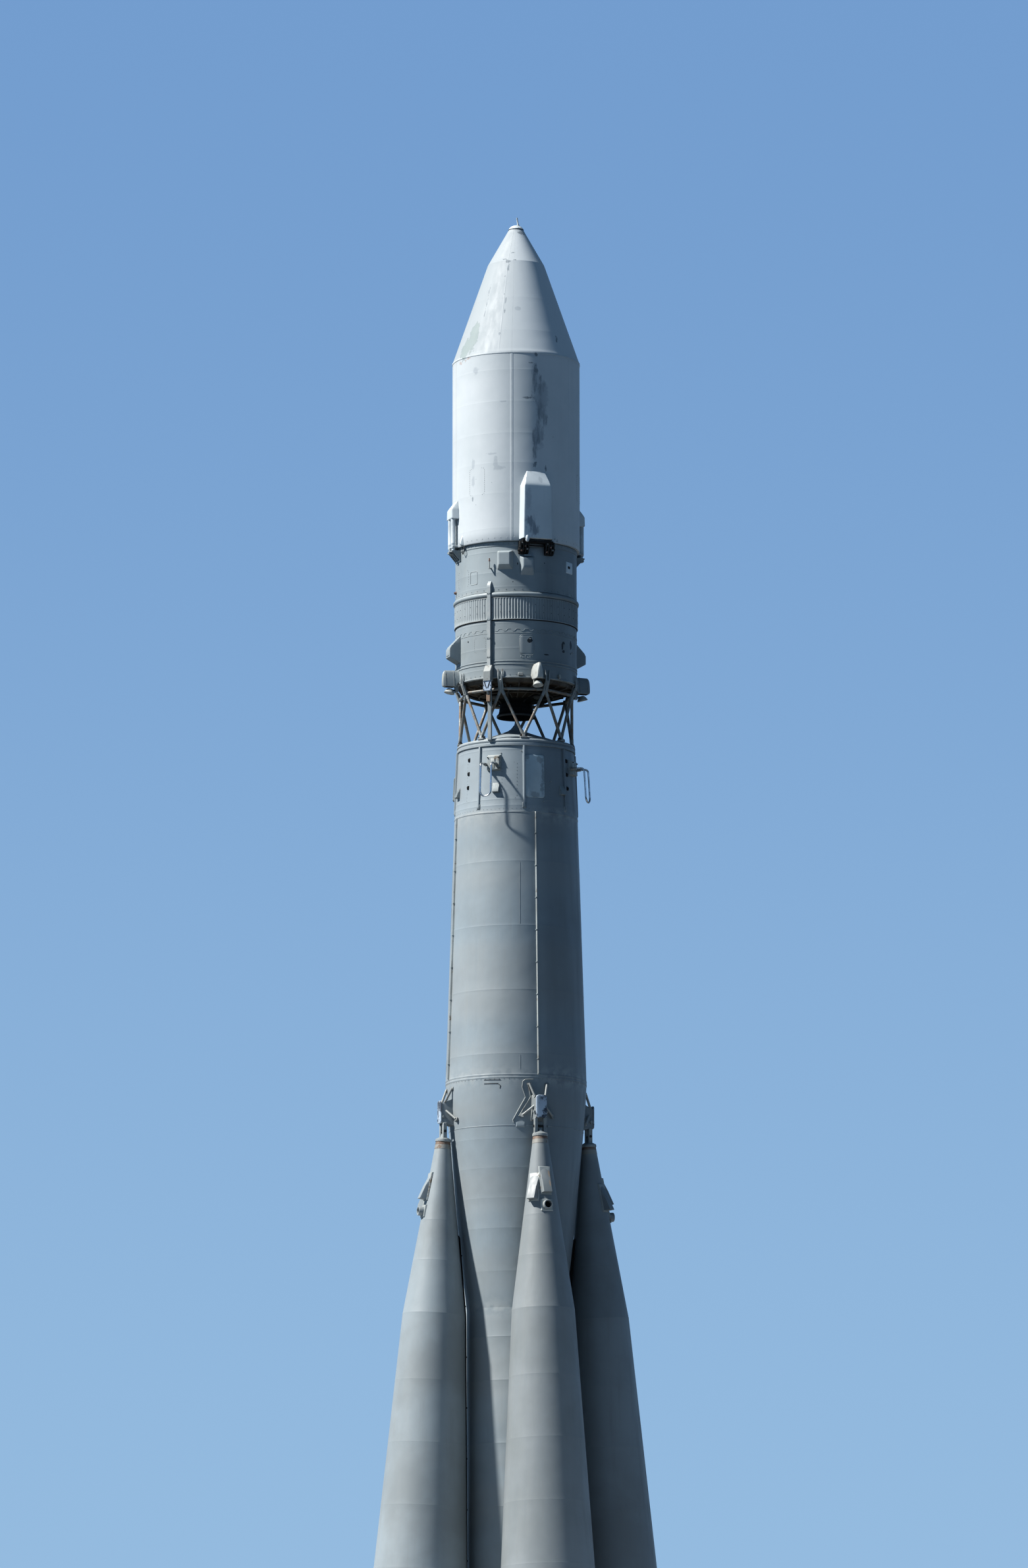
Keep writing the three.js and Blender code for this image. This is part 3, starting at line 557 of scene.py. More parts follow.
class Finish(Recipe):
    """A material's recipe, which ends in its shader."""

    def __init__(self, name, roughness=0.5, metallic=0.0):
        self.material = bpy.data.materials.new(name)
        self.material.use_nodes = True
        self.shader = self.material.node_tree.nodes["Principled BSDF"].inputs
        self.shader["Roughness"].default_value = roughness
        self.shader["Metallic"].default_value = metallic
        super().__init__(self.material.node_tree, "Object")

    def done(self, colour, roughness, height, depth=0.01, strength=0.4):
        """Connect colour, roughness and bump to the shader and give the material back."""
        self.feed(self.shader["Base Color"], colour)
        self.feed(self.shader["Roughness"], roughness)
        bump = self.add("Bump", {"Strength": strength, "Distance": depth, "Height": height})
        self.feed(self.shader["Normal"], bump)
        return self.material


def weathered(
    name, clean, dull, chip, streaks=0.5, flakes=0.66, gloss=0.5, dents=0.012, extra=None, painted_shade_depth=0.0
):
    """Old paint: two tones in cloudy patches, rain streaks down it, flakes chipped off, worn edges, and
    painted shade in creases.
    On its right, away from the lamp, the tone is darkened: painted shade."""
    f = Finish(name)
    clouds = f.noise(0.55, 5.0, 0.6)
    rain = f.noise(1.0, 5.0, 0.65, f.stretched(7.0, 7.0, 0.35))
    tone = f.mix(f.step(clouds, 0.35, 0.68), clean, dull)
    tone = f.mix(f.times(f.step(rain, 0.5, 0.78), streaks), tone, dull)
    fine = f.noise(9.0, 6.0, 0.7)
    if extra is not None:
        tone = extra(f, tone, fine)
    # Painted shade: the side turned away from the lamp is darkened in the paint colour itself.
    if painted_shade_depth:
        turn = f.turn()
        shade_side = f.times(f.step(turn, -6.0, 16.0), f.step(turn, 110.0, 160.0, 1.0, 0.0))
        tone = f.mix(f.times(shade_side, painted_shade_depth), tone, (0.5, 0.52, 0.54), "MULTIPLY")
    flaked = f.times(f.step(fine, flakes, flakes + 0.03), f.step(f.noise(1.3, 3.0), 0.52, 0.62))
    tone = f.mix(flaked, tone, chip)
    worn = f.times(f.edges(), f.step(f.noise(6.0, 4.0), 0.35, 0.6))
    tone = f.mix(f.times(worn, 0.6), tone, chip)
    # Painted shade in creases: concave places take a darker tone.
    tone = f.mix(f.times(f.crease_shade(), 0.5), tone, tuple(0.45 * c for c in dull))
    dent = f.math("ADD", f.times(f.noise(1.6, 2.0), 1.0), f.times(fine, 0.06))
    return f.done(tone, f.step(rain, 0.3, 0.8, gloss - 0.08, gloss + 0.14), dent, dents, 0.5)


# %% [markdown]
# ### The white fairing paint
# The fairing was painted white over grey primer. The white has flaked where water runs: in a long band right
# of the front, round the joint of the cone and on the cone's left. Each flake is a place with a ragged edge.

# %% White paint of the fairing
SKIN_LINES, CONE_SEAM = (-98.2, -88.3, 38.0, 100.0), -34.2
GREY_PRIMER = (0.17, 0.2, 0.225)
THIN_GREY = (0.43, 0.47, 0.5)
PALE_GREEN = (0.285, 0.345, 0.33)
# Painted light on the cone: a dimmed white for its lit left and a lifted white for its shaded right.
CONE_WHITE_DIMMED_LIT, CONE_WHITE_LIFTED_SHADE = (0.4, 0.435, 0.45), (0.63, 0.67, 0.69)
# Dark flakes down to the primer; the entry at turn -7.5, height 34.15 is a painted shadow line, not a flake.
dark_flakes_and_shadow_line = [
    (-32.5, 37.13, 2.4, 0.09), (-34.5, 37.27, 5.0, 0.04), (-42.0, 37.33, 5.0, 0.018),
    (-20.0, 37.3, 4.0, 0.018), (-26.0, 37.48, 6.0, 0.014), (15.0, 37.98, 22.0, 0.045),
    (-60.4, 36.63, 1.1, 0.12), (-59.3, 36.32, 0.9, 0.12), (-58.2, 36.08, 0.9, 0.12),
    (-36.8, 36.92, 1.2, 0.018), (-34.8, 36.5, 0.9, 0.03), (-31.8, 36.33, 1.0, 0.07), (-31.9, 36.1, 1.0, 0.05),
    (-35.2, 35.56, 1.1, 0.03), (0.3, 35.09, 1.8, 0.045), (-0.4, 34.75, 2.2, 0.1), (-5.0, 34.9, 2.0, 0.02),
    (-1.2, 32.72, 2.0, 0.05), (9.4, 32.66, 1.0, 0.06), (-7.5, 34.15, 4.6, 0.022), (26.0, 35.5, 1.6, 0.09),
    (-56.9, 32.45, 0.5, 0.012), (-56.9, 31.9, 0.5, 0.012), (-40.5, 32.34, 0.4, 0.01),
    (17.2, 33.35, 0.4, 0.012), (-61.0, 32.03, 0.9, 0.06), (140.0, 34.2, 3.0, 0.3), (118.0, 36.0, 3.0, 0.12)
]
thin_patches = [
    (-40.0, 32.96, 6.0, 0.03), (-37.0, 32.8, 3.0, 0.15), (-33.5, 32.65, 6.0, 0.06),
    (-29.0, 34.07, 3.6, 0.022), (-57.0, 34.78, 4.0, 0.12), (-60.0, 32.8, 2.4, 0.13), (-60.2, 32.4, 2.2, 0.15),
    (-16.0, 36.15, 4.0, 0.05), (6.0, 34.1, 7.0, 0.5), (2.0, 33.3, 6.5, 0.3), (75.0, 33.0, 9.0, 0.2),
    (158.0, 33.2, 8.0, 0.5)
]
flaked_band = [
    (-0.5, 34.72, 3.6, 0.2), (2.2, 34.34, 6.6, 0.36), (5.2, 33.88, 6.2, 0.4), (2.6, 33.4, 6.6, 0.34),
    (-0.4, 33.02, 3.8, 0.2)
]
green_patch = [(-72.5, 35.33, 8.5, 0.25), (-68.0, 35.7, 6.5, 0.2), (-64.0, 35.55, 4.0, 0.3)]
pink_spots = [(-78.1, 35.03, 2.4, 0.035), (-66.8, 35.09, 2.6, 0.025), (-70.5, 35.06, 1.0, 0.02)]


def fairing_patches(f, tone, fine):
    """Flaked, thin, greenish and pinkish patches at known turns and heights, edges broken up by noise. One
    dark mark is a painted shadow line, and the cone's white carries painted light: darker on its lit left,
    lighter towards its shaded right.
    """
    turn = f.turn()
    torn = f.ragged(22.0, 3.6, f.stretched(1.0, 1.0, 0.6))
    # Painted light: the cone's white darkens where the lamp is strong and lightens where it is weak.
    cone_light_ramp = f.mix(f.step(turn, -55.0, 5.0), CONE_WHITE_DIMMED_LIT, CONE_WHITE_LIFTED_SHADE)
    tone = f.mix(f.step(f.z, SHOULDER - 0.02, SHOULDER + 0.02, 0.0, 0.9), tone, cone_light_ramp)
    tone = f.patch(tone, THIN_GREY, turn, thin_patches, f.ragged(6.0, 2.4))
    green = f.blots(turn, green_patch, f.ragged(9.0, 2.8, f.stretched(1.4, 1.4, 0.7)))
    tone = f.mix(f.step(green, 0.0, 0.1, 0.0, 0.6), tone, PALE_GREEN)
    tone = f.mix(f.times(f.near(green, 0.03, 0.02, 0.05), 0.6), tone, (0.2, 0.25, 0.25))
    tone = f.patch(tone, (0.5, 0.4, 0.36), turn, pink_spots, torn, 0.2)
    flakes = f.step(f.blots(turn, dark_flakes_and_shadow_line, torn), 0.0, 0.35, 0.0, 0.8)
    tone = f.mix(flakes, tone, f.mix(f.step(fine, 0.4, 0.6), GREY_PRIMER, (0.3, 0.34, 0.37)))
    band = f.step(f.blots(turn, flaked_band, f.ragged(5.0, 3.0, f.stretched(1.6, 1.6, 0.6))), 0.0, 0.45)
    band = f.times(band, f.step(f.noise(7.0, 6.0, 0.7, f.stretched(2.0, 2.0, 0.45)), 0.4, 0.62, 0.14, 0.78))
    tone = f.mix(band, tone, (0.265, 0.3, 0.33))
    foot = f.times(f.near(f.z, FAIRING_BASE, 0.03, 0.3), f.step(fine, 0.45, 0.75))
    tone = f.mix(f.times(foot, 0.12), tone, (0.42, 0.44, 0.42))
    strap = f.math("MAXIMUM", f.near(turn, SKIN_LINES[1], 0.2, 0.5), f.near(turn, SKIN_LINES[0], 0.2, 0.5))
    strap = f.times(strap, f.step(f.z, SHOULDER - 0.04, SHOULDER, 0.55, 0.0))
    return f.mix(strap, tone, (0.5, 0.47, 0.41))


white_paint = weathered(
    "white fairing paint", (0.635, 0.67, 0.685), (0.575, 0.615, 0.63), (0.36, 0.4, 0.42), streaks=0.3,
    flakes=0.76, gloss=0.64, dents=0.01, extra=fairing_patches
)


def pod_stain(f, tone, fine):
    """A pod's face: a dark smear low down on its left and a fainter one above it."""
    turn = f.turn()
    streaky = f.ragged(9.0, 3.4, f.stretched(1.6, 1.6, 0.5))
    low = [(-6.0, 31.44, 4.8, 0.2), (-4.0, 31.28, 5.0, 0.16)]
    high = [(-7.5, 31.95, 3.0, 0.3), (3.0, 32.38, 2.0, 0.08)]
    tone = f.patch(tone, (0.22, 0.255, 0.3), turn, low, streaky, 0.7, 0.75)
    return f.patch(tone, (0.36, 0.4, 0.43), turn, high, f.ragged(6.0, 2.6), 0.6, 0.35)


pod_paint = weathered(
    "pod paint", (0.68, 0.73, 0.75), (0.58, 0.63, 0.65), (0.34, 0.37, 0.39), streaks=0.4, flakes=0.72,
    gloss=0.45, dents=0.008, extra=pod_stain
)
print("white finishes made")

# %% [markdown]
# ### Grey stage paints
# The stages are painted blue-grey and each rolled barrel of sheet has taken the weather differently.
# A slow change of tone with height, plus fine streaks, gives that look. The boosters have their own paints.

# %% Grey paints
def barrels(f, tone, fine):
    """A tone for each barrel of sheet: noise read along the height only, in soft steps."""
    belts = f.noise(1.0, 2.0, 0.5, f.stretched(0.02, 0.02, 0.62))
    tone = f.mix(f.times(f.step(belts, 0.4, 0.62), 0.35), tone, (0.4, 0.4, 0.38))
    smear = f.step(f.noise(2.4, 5.0, 0.7, f.stretched(1.0, 1.0, 0.4)), 0.58, 0.75)
    return f.mix(f.times(smear, 0.25), tone, (0.42, 0.46, 0.46))


def stage_chips(f, tone, fine):
    """Dark chips on the tank, small black bolt holes, and a cream patch on the left engine housing: its
    yellowish tint, and a painted highlight on its lit face.
    """
    turn = f.turn()
    torn = f.ragged(16.0, 1.6)
    chips = [
        (32.6, 28.99, 2.0, 0.035), (31.2, 28.91, 1.3, 0.085), (33.0, 28.81, 1.8, 0.035),
        (45.6, 28.98, 2.2, 0.09), (-5.2, 28.965, 2.6, 0.05), (-4.6, 29.01, 1.4, 0.03),
        (11.5, 28.685, 3.0, 0.016), (45.0, 28.8, 0.7, 0.02), (9.6, 30.636, 0.5, 0.014),
        (-21.1, 30.212, 0.5, 0.014), (-16.7, 30.6, 0.6, 0.03), (150.0, 29.0, 2.0, 0.05)
    ]
    tone = f.patch(tone, (0.022, 0.028, 0.035), turn, chips, torn, 0.15, 0.9)
    # Partly painted highlight: the left housing's lit face is made lighter and cream.
    tone = f.patch(tone, (0.56, 0.54, 0.45), turn, [(-90.5, 28.3, 3.0, 0.14)], f.ragged(5.0, 1.2), 0.5, 0.55)
    smear = f.step(f.noise(2.0, 5.0, 0.7, f.stretched(1.0, 1.0, 0.5)), 0.55, 0.75, 0.0, 0.3)
    return f.mix(smear, tone, (0.42, 0.42, 0.385))


def nose_rust(f, tone, fine):
    """A tan smear of rust on the front booster's nose cover."""
    places = [(2.4, 17.66, 1.0, 0.1), (1.8, 17.48, 0.7, 0.08)]
    return f.patch(tone, (0.5, 0.37, 0.26), f.turn(), places, f.ragged(9.0, 1.6), 0.4)


def hatch_dirt(f, tone, fine):
    """The bay's pale hatch: grey flecks gathered near its upper left, its right side and its foot."""
    places = [
        (-8.0, 26.5, 3.0, 0.1), (5.5, 26.45, 5.0, 0.08), (8.0, 26.15, 1.6, 0.3), (6.5, 25.85, 2.6, 0.16),
        (-1.0, 25.7, 6.0, 0.08)
    ]
    return f.patch(tone, (0.25, 0.285, 0.305), f.turn(), places, f.ragged(13.0, 3.4))


core_paint = weathered(
    "core grey paint", (0.345, 0.395, 0.42), (0.305, 0.34, 0.355), (0.48, 0.5, 0.49), streaks=0.45,
    flakes=0.76, dents=0.02, extra=barrels, painted_shade_depth=0.5
)
stage_paint = weathered(
    "third stage paint", (0.385, 0.43, 0.445), (0.315, 0.35, 0.36), (0.46, 0.47, 0.45), flakes=0.74,
    gloss=0.52, extra=stage_chips, painted_shade_depth=0.5
)
band_paint = weathered(
    "corrugated band paint", (0.405, 0.445, 0.455), (0.345, 0.375, 0.38), (0.46, 0.46, 0.44), flakes=0.74,
    gloss=0.52, dents=0.004, painted_shade_depth=0.5
)
booster_paint = weathered(
    "booster paint", (0.31, 0.332, 0.338), (0.275, 0.295, 0.295), (0.46, 0.47, 0.44), flakes=0.74,
    dents=0.016, extra=nose_rust
)
side_booster_paint = weathered(
    "side booster paint", (0.36, 0.4, 0.415), (0.305, 0.33, 0.335), (0.47, 0.48, 0.45), flakes=0.74,
    dents=0.016, painted_shade_depth=0.5
)
booster_side_paint = dict.fromkeys(PLANES, side_booster_paint) | {"front": booster_paint}
tank_tail_paint = weathered(
    "tail section paint", (0.34, 0.37, 0.37), (0.27, 0.285, 0.275), (0.45, 0.42, 0.36), streaks=0.7,
    flakes=0.68, gloss=0.55
)
panel_paint = weathered(
    "pale panel paint", (0.53, 0.61, 0.64), (0.4, 0.46, 0.48), (0.24, 0.27, 0.29), streaks=0.8, flakes=0.56,
    dents=0.004, extra=hatch_dirt
)
bay_paint = weathered(
    "bay paint", (0.385, 0.435, 0.46), (0.335, 0.37, 0.385), (0.46, 0.48, 0.47), streaks=0.45, flakes=0.76,
    dents=0.02, painted_shade_depth=0.65
)
print("grey finishes made")

# %% [markdown]
# ### Metals
# Struts and brackets have lost most of their paint and rust comes through. Pipes of the vent hoops are
# polished. Engine bells are brazed steel, browned by heat in soft bands up their height.

# %% Bare and rusty metals
def rusty(name, steel, rust, amount=0.5, metallic=0.35, rough=0.6, worn=0.35):
    """Painted steel gone to rust: two noises choose where, and the rust is rougher than the rest."""
    f = Finish(name, metallic=metallic)
    where = f.step(f.noise(5.0, 7.0, 0.7), 0.62 - 0.3 * amount, 0.74 - 0.3 * amount)
    tone = f.mix(f.step(f.noise(1.1, 3.0), 0.35, 0.7), steel, tuple(0.7 * c for c in steel))
    tone = f.mix(where, tone, rust)
    tone = f.mix(f.times(f.edges(), worn), tone, (0.42, 0.4, 0.36))
    return f.done(tone, f.step(where, 0.0, 1.0, rough - 0.1, rough + 0.2), f.noise(40.0, 4.0), 0.004, 0.4)


truss_paint = rusty("truss strut paint", (0.235, 0.255, 0.25), (0.215, 0.145, 0.1), 0.52, 0.05)
lock_steel = rusty("lock steel", (0.022, 0.023, 0.025), (0.036, 0.029, 0.025), 0.3, 0.1, 0.6, 0.1)
red_lead = rusty("red lead primer", (0.24, 0.09, 0.06), (0.15, 0.07, 0.045), 0.4, 0.1)
light_fitting = rusty("pale fitting paint", (0.46, 0.49, 0.48), (0.24, 0.21, 0.17), 0.25, 0.1)
grey_fitting = rusty("grey fitting paint", (0.335, 0.375, 0.385), (0.17, 0.13, 0.1), 0.2, 0.1)
# Near black, for dark joints and parts, and as painted shade where a recess or gap lies in shadow.
black_and_painted_shade = rusty("black recess and painted shade", (0.018, 0.019, 0.021), (0.03, 0.026, 0.023), 0.5, 0.0, 0.8, 0.03)
underside_metal = rusty("scorched underside", (0.105, 0.082, 0.055), (0.05, 0.032, 0.02), 0.55, 0.1, 0.75)
black_bell = rusty("black engine bell", (0.01, 0.01, 0.011), (0.02, 0.015, 0.012), 0.3, 0.0, 0.8)
blotchy_paint = rusty("blotchy thrust box paint", (0.56, 0.64, 0.72), (0.1, 0.12, 0.15), 0.5, 0.05, 0.6)
bare_tip = rusty("bare nose tip", (0.36, 0.355, 0.33), (0.2, 0.13, 0.09), 0.25, 0.1)
bright_panel = rusty("bright connector panel", (0.66, 0.76, 0.88), (0.14, 0.17, 0.21), 0.35, 0.3, 0.4)
cream_boot = rusty("cream cover", (0.53, 0.545, 0.52), (0.33, 0.32, 0.28), 0.35, 0.0, 0.6)
tan_rust = rusty("tan rusted strap", (0.3, 0.19, 0.12), (0.18, 0.1, 0.06), 0.5, 0.1)
rusty_collar = rusty("rusty collar", (0.24, 0.15, 0.1), (0.17, 0.075, 0.04), 0.6, 0.2)
hatch_paint = rusty("hatch paint", (0.28, 0.32, 0.33), (0.13, 0.12, 0.105), 0.3, 0.05, 0.6)


def polished(name, colour, dull, rough):
    """Bright tube: clean metal with cloudy dulling and faint rings of wear."""
    f = Finish(name, metallic=0.9)
    clouds = f.noise(6.0, 5.0, 0.6)
    tone = f.mix(f.step(clouds, 0.4, 0.7), colour, dull)
    tone = f.mix(f.times(f.edges(), 0.3), tone, (0.8, 0.8, 0.8))
    return f.done(tone, f.step(clouds, 0.3, 0.75, rough, rough + 0.2), f.noise(60.0, 3.0), 0.001, 0.3)


bright_tube = polished("polished tube", (0.72, 0.75, 0.78), (0.48, 0.5, 0.51), 0.18)


def heat_stained(name, cool, hot):
    """Bell metal: browns and blues in bands up the height, broken by noise, with fine rings round it."""
    f = Finish(name, metallic=0.75)
    wobble = f.math("ADD", f.z, f.times(f.noise(2.0, 4.0), 0.5))
    heat = f.step(f.noise(1.0, 3.0, 0.5, f.stretched(0.4, 0.4, 3.0)), 0.35, 0.65)
    tone = f.mix(heat, cool, hot)
    tone = f.mix(f.step(f.math("SINE", f.times(wobble, 9.0)), 0.2, 1.0, 0.0, 0.35), tone, (0.19, 0.17, 0.19))
    soot = f.step(f.noise(3.0, 6.0, 0.7), 0.52, 0.72, 0.0, 0.6)
    tone = f.mix(soot, tone, (0.06, 0.055, 0.05))
    tone = f.mix(f.times(f.edges(), 0.4), tone, (0.55, 0.5, 0.44))
    return f.done(tone, f.step(soot, 0.0, 0.6, 0.32, 0.6), f.noise(30.0, 4.0), 0.003, 0.3)


bell_metal = heat_stained("engine bell metal", (0.42, 0.37, 0.31), (0.3, 0.21, 0.15))
print(len(bpy.data.materials), "materials")

# %% [markdown]
# ## Payload fairing
# The fairing is two half shells that meet at a vertical seam and fly apart in flight. On the real rocket they
# are riveted sheet over frames, so rings of welds and rivets run round them. Here the radius is worked out
# for every height and every turn, with small bumps added where a weld or a seam runs, and a wall 8 cm thick.

# %% Rows, welds and the two halves
def rows_for(low, high, gap, welds=(), width=0.01):
    """Heights from low to high at most a gap apart, with six extra rows round each weld."""
    even = np.linspace(low, high, max(2, int(math.ceil((high - low) / gap)) + 1))
    offsets = np.array([-1.6, -0.9, -0.3, 0.3, 0.9, 1.6]) * width
    extra = (np.asarray(welds, float)[:, None] + offsets).ravel() if len(welds) else np.array([])
    rows = np.concatenate([even, extra])
    return np.unique(np.round(rows[(rows >= low) & (rows <= high)], 5))


def weld_bumps(z, welds, tall=0.004, width=0.01):
    """The height of ring welds over a skin: one bell curve for each weld."""
    welds = np.asarray(welds, float)
    return (tall * np.exp(-(((z[..., None] - welds) / width) ** 2))).sum(-1)


FAIRING_WELDS = (31.36, 32.11, 32.76, 33.4, 34.08, 34.76, 35.66, 36.42, CONE_JOINT)
FAIRING_WALL = 0.08
SHOULDER_LIP, SHOULDER_LIP_TALL = 0.035, 0.007
HALF_TURNS = {"right": (SEAM_TURN, SEAM_TURN + 180.0), "left": (SEAM_TURN - 180.0, SEAM_TURN)}


def fairing_radius(z):
    """Radius of the fairing: a cylinder, then two cones."""
    heights = [FAIRING_BASE, SHOULDER, CONE_JOINT, NOSE_CAP_BASE]
    return np.interp(z, heights, [FAIRING_RADIUS, FAIRING_RADIUS, CONE_JOINT_RADIUS, NOSE_CAP_RADIUS])


def fairing_half(first, last):
    """One half shell between two turns: strips along its edges, welds, a shoulder lip and a wall inside."""
    z = np.unique(np.concatenate([rows_for(FAIRING_BASE, NOSE_CAP_BASE, 0.22, FAIRING_WELDS), [
        SHOULDER - SHOULDER_LIP, SHOULDER - SHOULDER_LIP - 0.004, SHOULDER, SHOULDER + 0.03,
        FAIRING_BASE + 0.012
    ]]))
    near_seam = np.array([0.0, 0.2, 1.15, 1.35, 1.7])
    fine = np.array([-0.5, -0.2, 0.2, 0.5])
    turns = np.unique(np.concatenate([
        np.linspace(first, last, 97), first + near_seam, last - near_seam,
        *[t + fine for t in (*SKIN_LINES, CONE_SEAM) if first < t < last]
    ]))
    zz, tt = np.meshgrid(z, turns, indexing="ij")
    radius = fairing_radius(zz) + weld_bumps(zz, FAIRING_WELDS, 0.0007)
    from_seam = np.minimum(tt - first, last - tt)
    radius = radius + 0.002 * (from_seam < 1.3) * (zz < SHOULDER - SHOULDER_LIP)
    lines = sum(np.exp(-(((tt - line) / 0.3) ** 2)) for line in SKIN_LINES)
    radius = radius + 0.003 * lines * (zz < SHOULDER - SHOULDER_LIP)
    radius = radius + 0.0025 * np.exp(-(((tt - CONE_SEAM) / 0.3) ** 2)) * (zz > SHOULDER + 0.03)
    radius = radius + SHOULDER_LIP_TALL * ((zz >= SHOULDER - SHOULDER_LIP) & (zz < SHOULDER + 0.03))
    radius = radius - 0.006 * (zz < FAIRING_BASE + 0.005)
    gap = np.where(tt == turns[0], 0.015, np.where(tt == turns[-1], -0.015, 0.0))
    angle = np.radians(FRONT + tt + gap)
    return shell(around(radius, angle, zz), around(radius - FAIRING_WALL, angle, zz))


def dotted_frame(
    turn, z, half_width, half_height, corner, skin, pitch=0.05, radius=0.008, tall=0.006, finish=0
):
    """A rounded rectangle of rivets on a skin, a pitch apart along its outline."""
    path = frame_path(turn, z, half_width, half_height, corner, skin)
    around_again = np.concatenate([path, path[:1]])
    lengths = np.concatenate([[0], np.cumsum(np.linalg.norm(np.diff(around_again, axis=0), axis=1))])
    places = np.linspace(0, lengths[-1], max(4, int(lengths[-1] / pitch)), endpoint=False)
    spots = np.stack([np.interp(places, lengths, around_again[:, i]) for i in range(3)], -1)
    out = spots * [1, 1, 0] / np.linalg.norm(spots[:, :2], axis=1, keepdims=True)
    return rods(spots - 0.003 * out, spots + tall * out, radius, 5, finish, radius * 0.7)


door_turn = (-46.3 - 29.5) / 2 - CAMERA_TURN
edge_turns = np.concatenate([np.arange(-20, 157, 6), np.arange(-200, -23, 6)])
for name, (first, last) in HALF_TURNS.items():
    parts = [fairing_half(first, last)]
    turns = edge_turns[(edge_turns > first) & (edge_turns < last)]
    parts.append(studs(turns, FAIRING_BASE + 0.07, FAIRING_RADIUS, 0.011, 0.006))
    if name == "left":
        parts.append(dotted_frame(
            door_turn, 32.395, 0.197, 0.285, 0.05, FAIRING_RADIUS, 0.045, 0.008, 0.005, 1
        ))
    else:
        parts.append(dotted_frame(62.0, 32.4, 0.2, 0.28, 0.05, FAIRING_RADIUS, 0.045, 0.008, 0.005, 1))
    piece(
        f"fairing_half_{name}_skin", parts, [white_paint, grey_fitting], f"fairing_half_{name}"
    )

# %% [markdown]
# ### Nose cap and pin
# A small cap closes the top of the cone and carries a bent pin. A turned profile makes the cap, and the pin
# is a bar that narrows, with a collar where it enters.

# %% Nose cap
cap_profile = [
    (0, NOSE_CAP_BASE + SEAT), (0.15, NOSE_CAP_BASE + SEAT), (0.16, 38.088), (0.16, 38.1), (0.154, 38.106),
    (0.146, 38.122), (0.124, 38.147), (0.1, 38.163), (0.066, 38.179), (0.034, 38.188), (0, NOSE_CAP_TOP)
]
nose_pin = bar((0.05, 0.019), (-0.016, -0.006), (38.12, PIN_TIP - 0.006), 0.021, 12, 0, 0.014)
pin_collar = bar((0.047, 0.041), (-0.015, -0.013), (38.155, 38.2), 0.032, 12, 2, 0.027)
pin_tip = bar((0.0198, 0.019), (-0.0062, -0.006), (PIN_TIP - 0.03, PIN_TIP), 0.016, 12, 2, 0.01)
cap_bolts = studs(np.arange(0, 360, 45), 38.112, 0.15, 0.008, 0.006)
cap_gap = turned_body([(0.15, 38.0802), (0.164, 38.0802), (0.164, 38.088), (0.15, 38.088)], 72, finish=1)
piece(
    "nose_cap_cover", [turned_body(cap_profile, 72), nose_pin, pin_collar, pin_tip, cap_bolts, cap_gap],
    [pod_paint, black_and_painted_shade, light_fitting], "nose_cap"
)

# %% [markdown]
# ### Boxes that stand on a skin
# Covers over separation gear, cable outlets and hatches are sheet boxes with sloped sides. One helper makes
# them all: at each point of a grid the distance out is the soft minimum of the face and its four slopes.

# %% Sheet boxes
POD_BASE, POD_TOP, POD_OUT = 31.1, 32.57, 0.135


def near_ends(low, high, low_bevel, high_bevel, gap):
    """Places from low to high, close together over each bevel and a gap apart between them."""
    steps = np.array([0, 0.35, 0.7, 0.92, 1.05, 1.25, 1.6])
    span = high - low
    a, b = min(low_bevel, span * 0.3), min(high_bevel, span * 0.3)
    middle = np.linspace(low + 1.6 * a, high - 1.6 * b, max(2, int((span - 1.6 * (a + b)) / gap) + 1))
    return np.unique(np.round(np.concatenate([low + steps * a, middle, high - steps * b]), 5))


def sheet_box(
    skin, z, half, out, bevel, top_half=None, narrow_from=None, soft=0.006, finish=0, lean=0.0, corner=0.0
):
    """A box on a round skin, facing +X: flat face, sloped sides and ends, edges rounded by a soft minimum.
    A corner radius rounds its outline: the half width follows a quarter circle near each end."""
    low, high = z
    side_bevel, low_bevel, high_bevel = np.broadcast_to(bevel, 3)
    heights = near_ends(low, high, low_bevel, high_bevel, 0.2)
    if narrow_from is not None:
        heights = np.unique(np.concatenate([heights, [narrow_from]]))
    half_at = np.full_like(heights, half)
    if top_half is not None:
        half_at = np.interp(heights, [low, narrow_from, high], [half * 1.03, half * 0.97, top_half])
    if corner:
        quarter = corner * (1 - np.cos(np.linspace(0, np.pi / 2, 6)))
        heights = np.unique(np.round(np.concatenate([heights, low + quarter, high - quarter]), 5))
        from_end = np.minimum(np.minimum(heights - low, high - heights), corner)
        half_at = half - corner + np.sqrt(corner**2 - (corner - from_end) ** 2)
    u = near_ends(-1.0, 1.0, side_bevel / half, side_bevel / half, 0.35)
    zz, uu = np.meshgrid(heights, u, indexing="ij")
    yy = uu * half_at[:, None]
    skins = skin_at(skin, zz)
    base = skin_depth(skins, yy, 0)
    face = skins + out + lean * (zz - (low + high) / 2)
    side = base + (half_at[:, None] - np.abs(yy)) / side_bevel * (face - base)
    foot = base + (zz - low) / low_bevel * (face - base)
    roof = base + (high - zz) / high_bevel * (face - base)
    x = soft_min([soft_min([face, side], soft), foot, roof], min(soft, 0.005))
    x = np.maximum(x, base - 0.004)
    return field(yy, zz, x, np.minimum(base, x) - 0.01, finish)


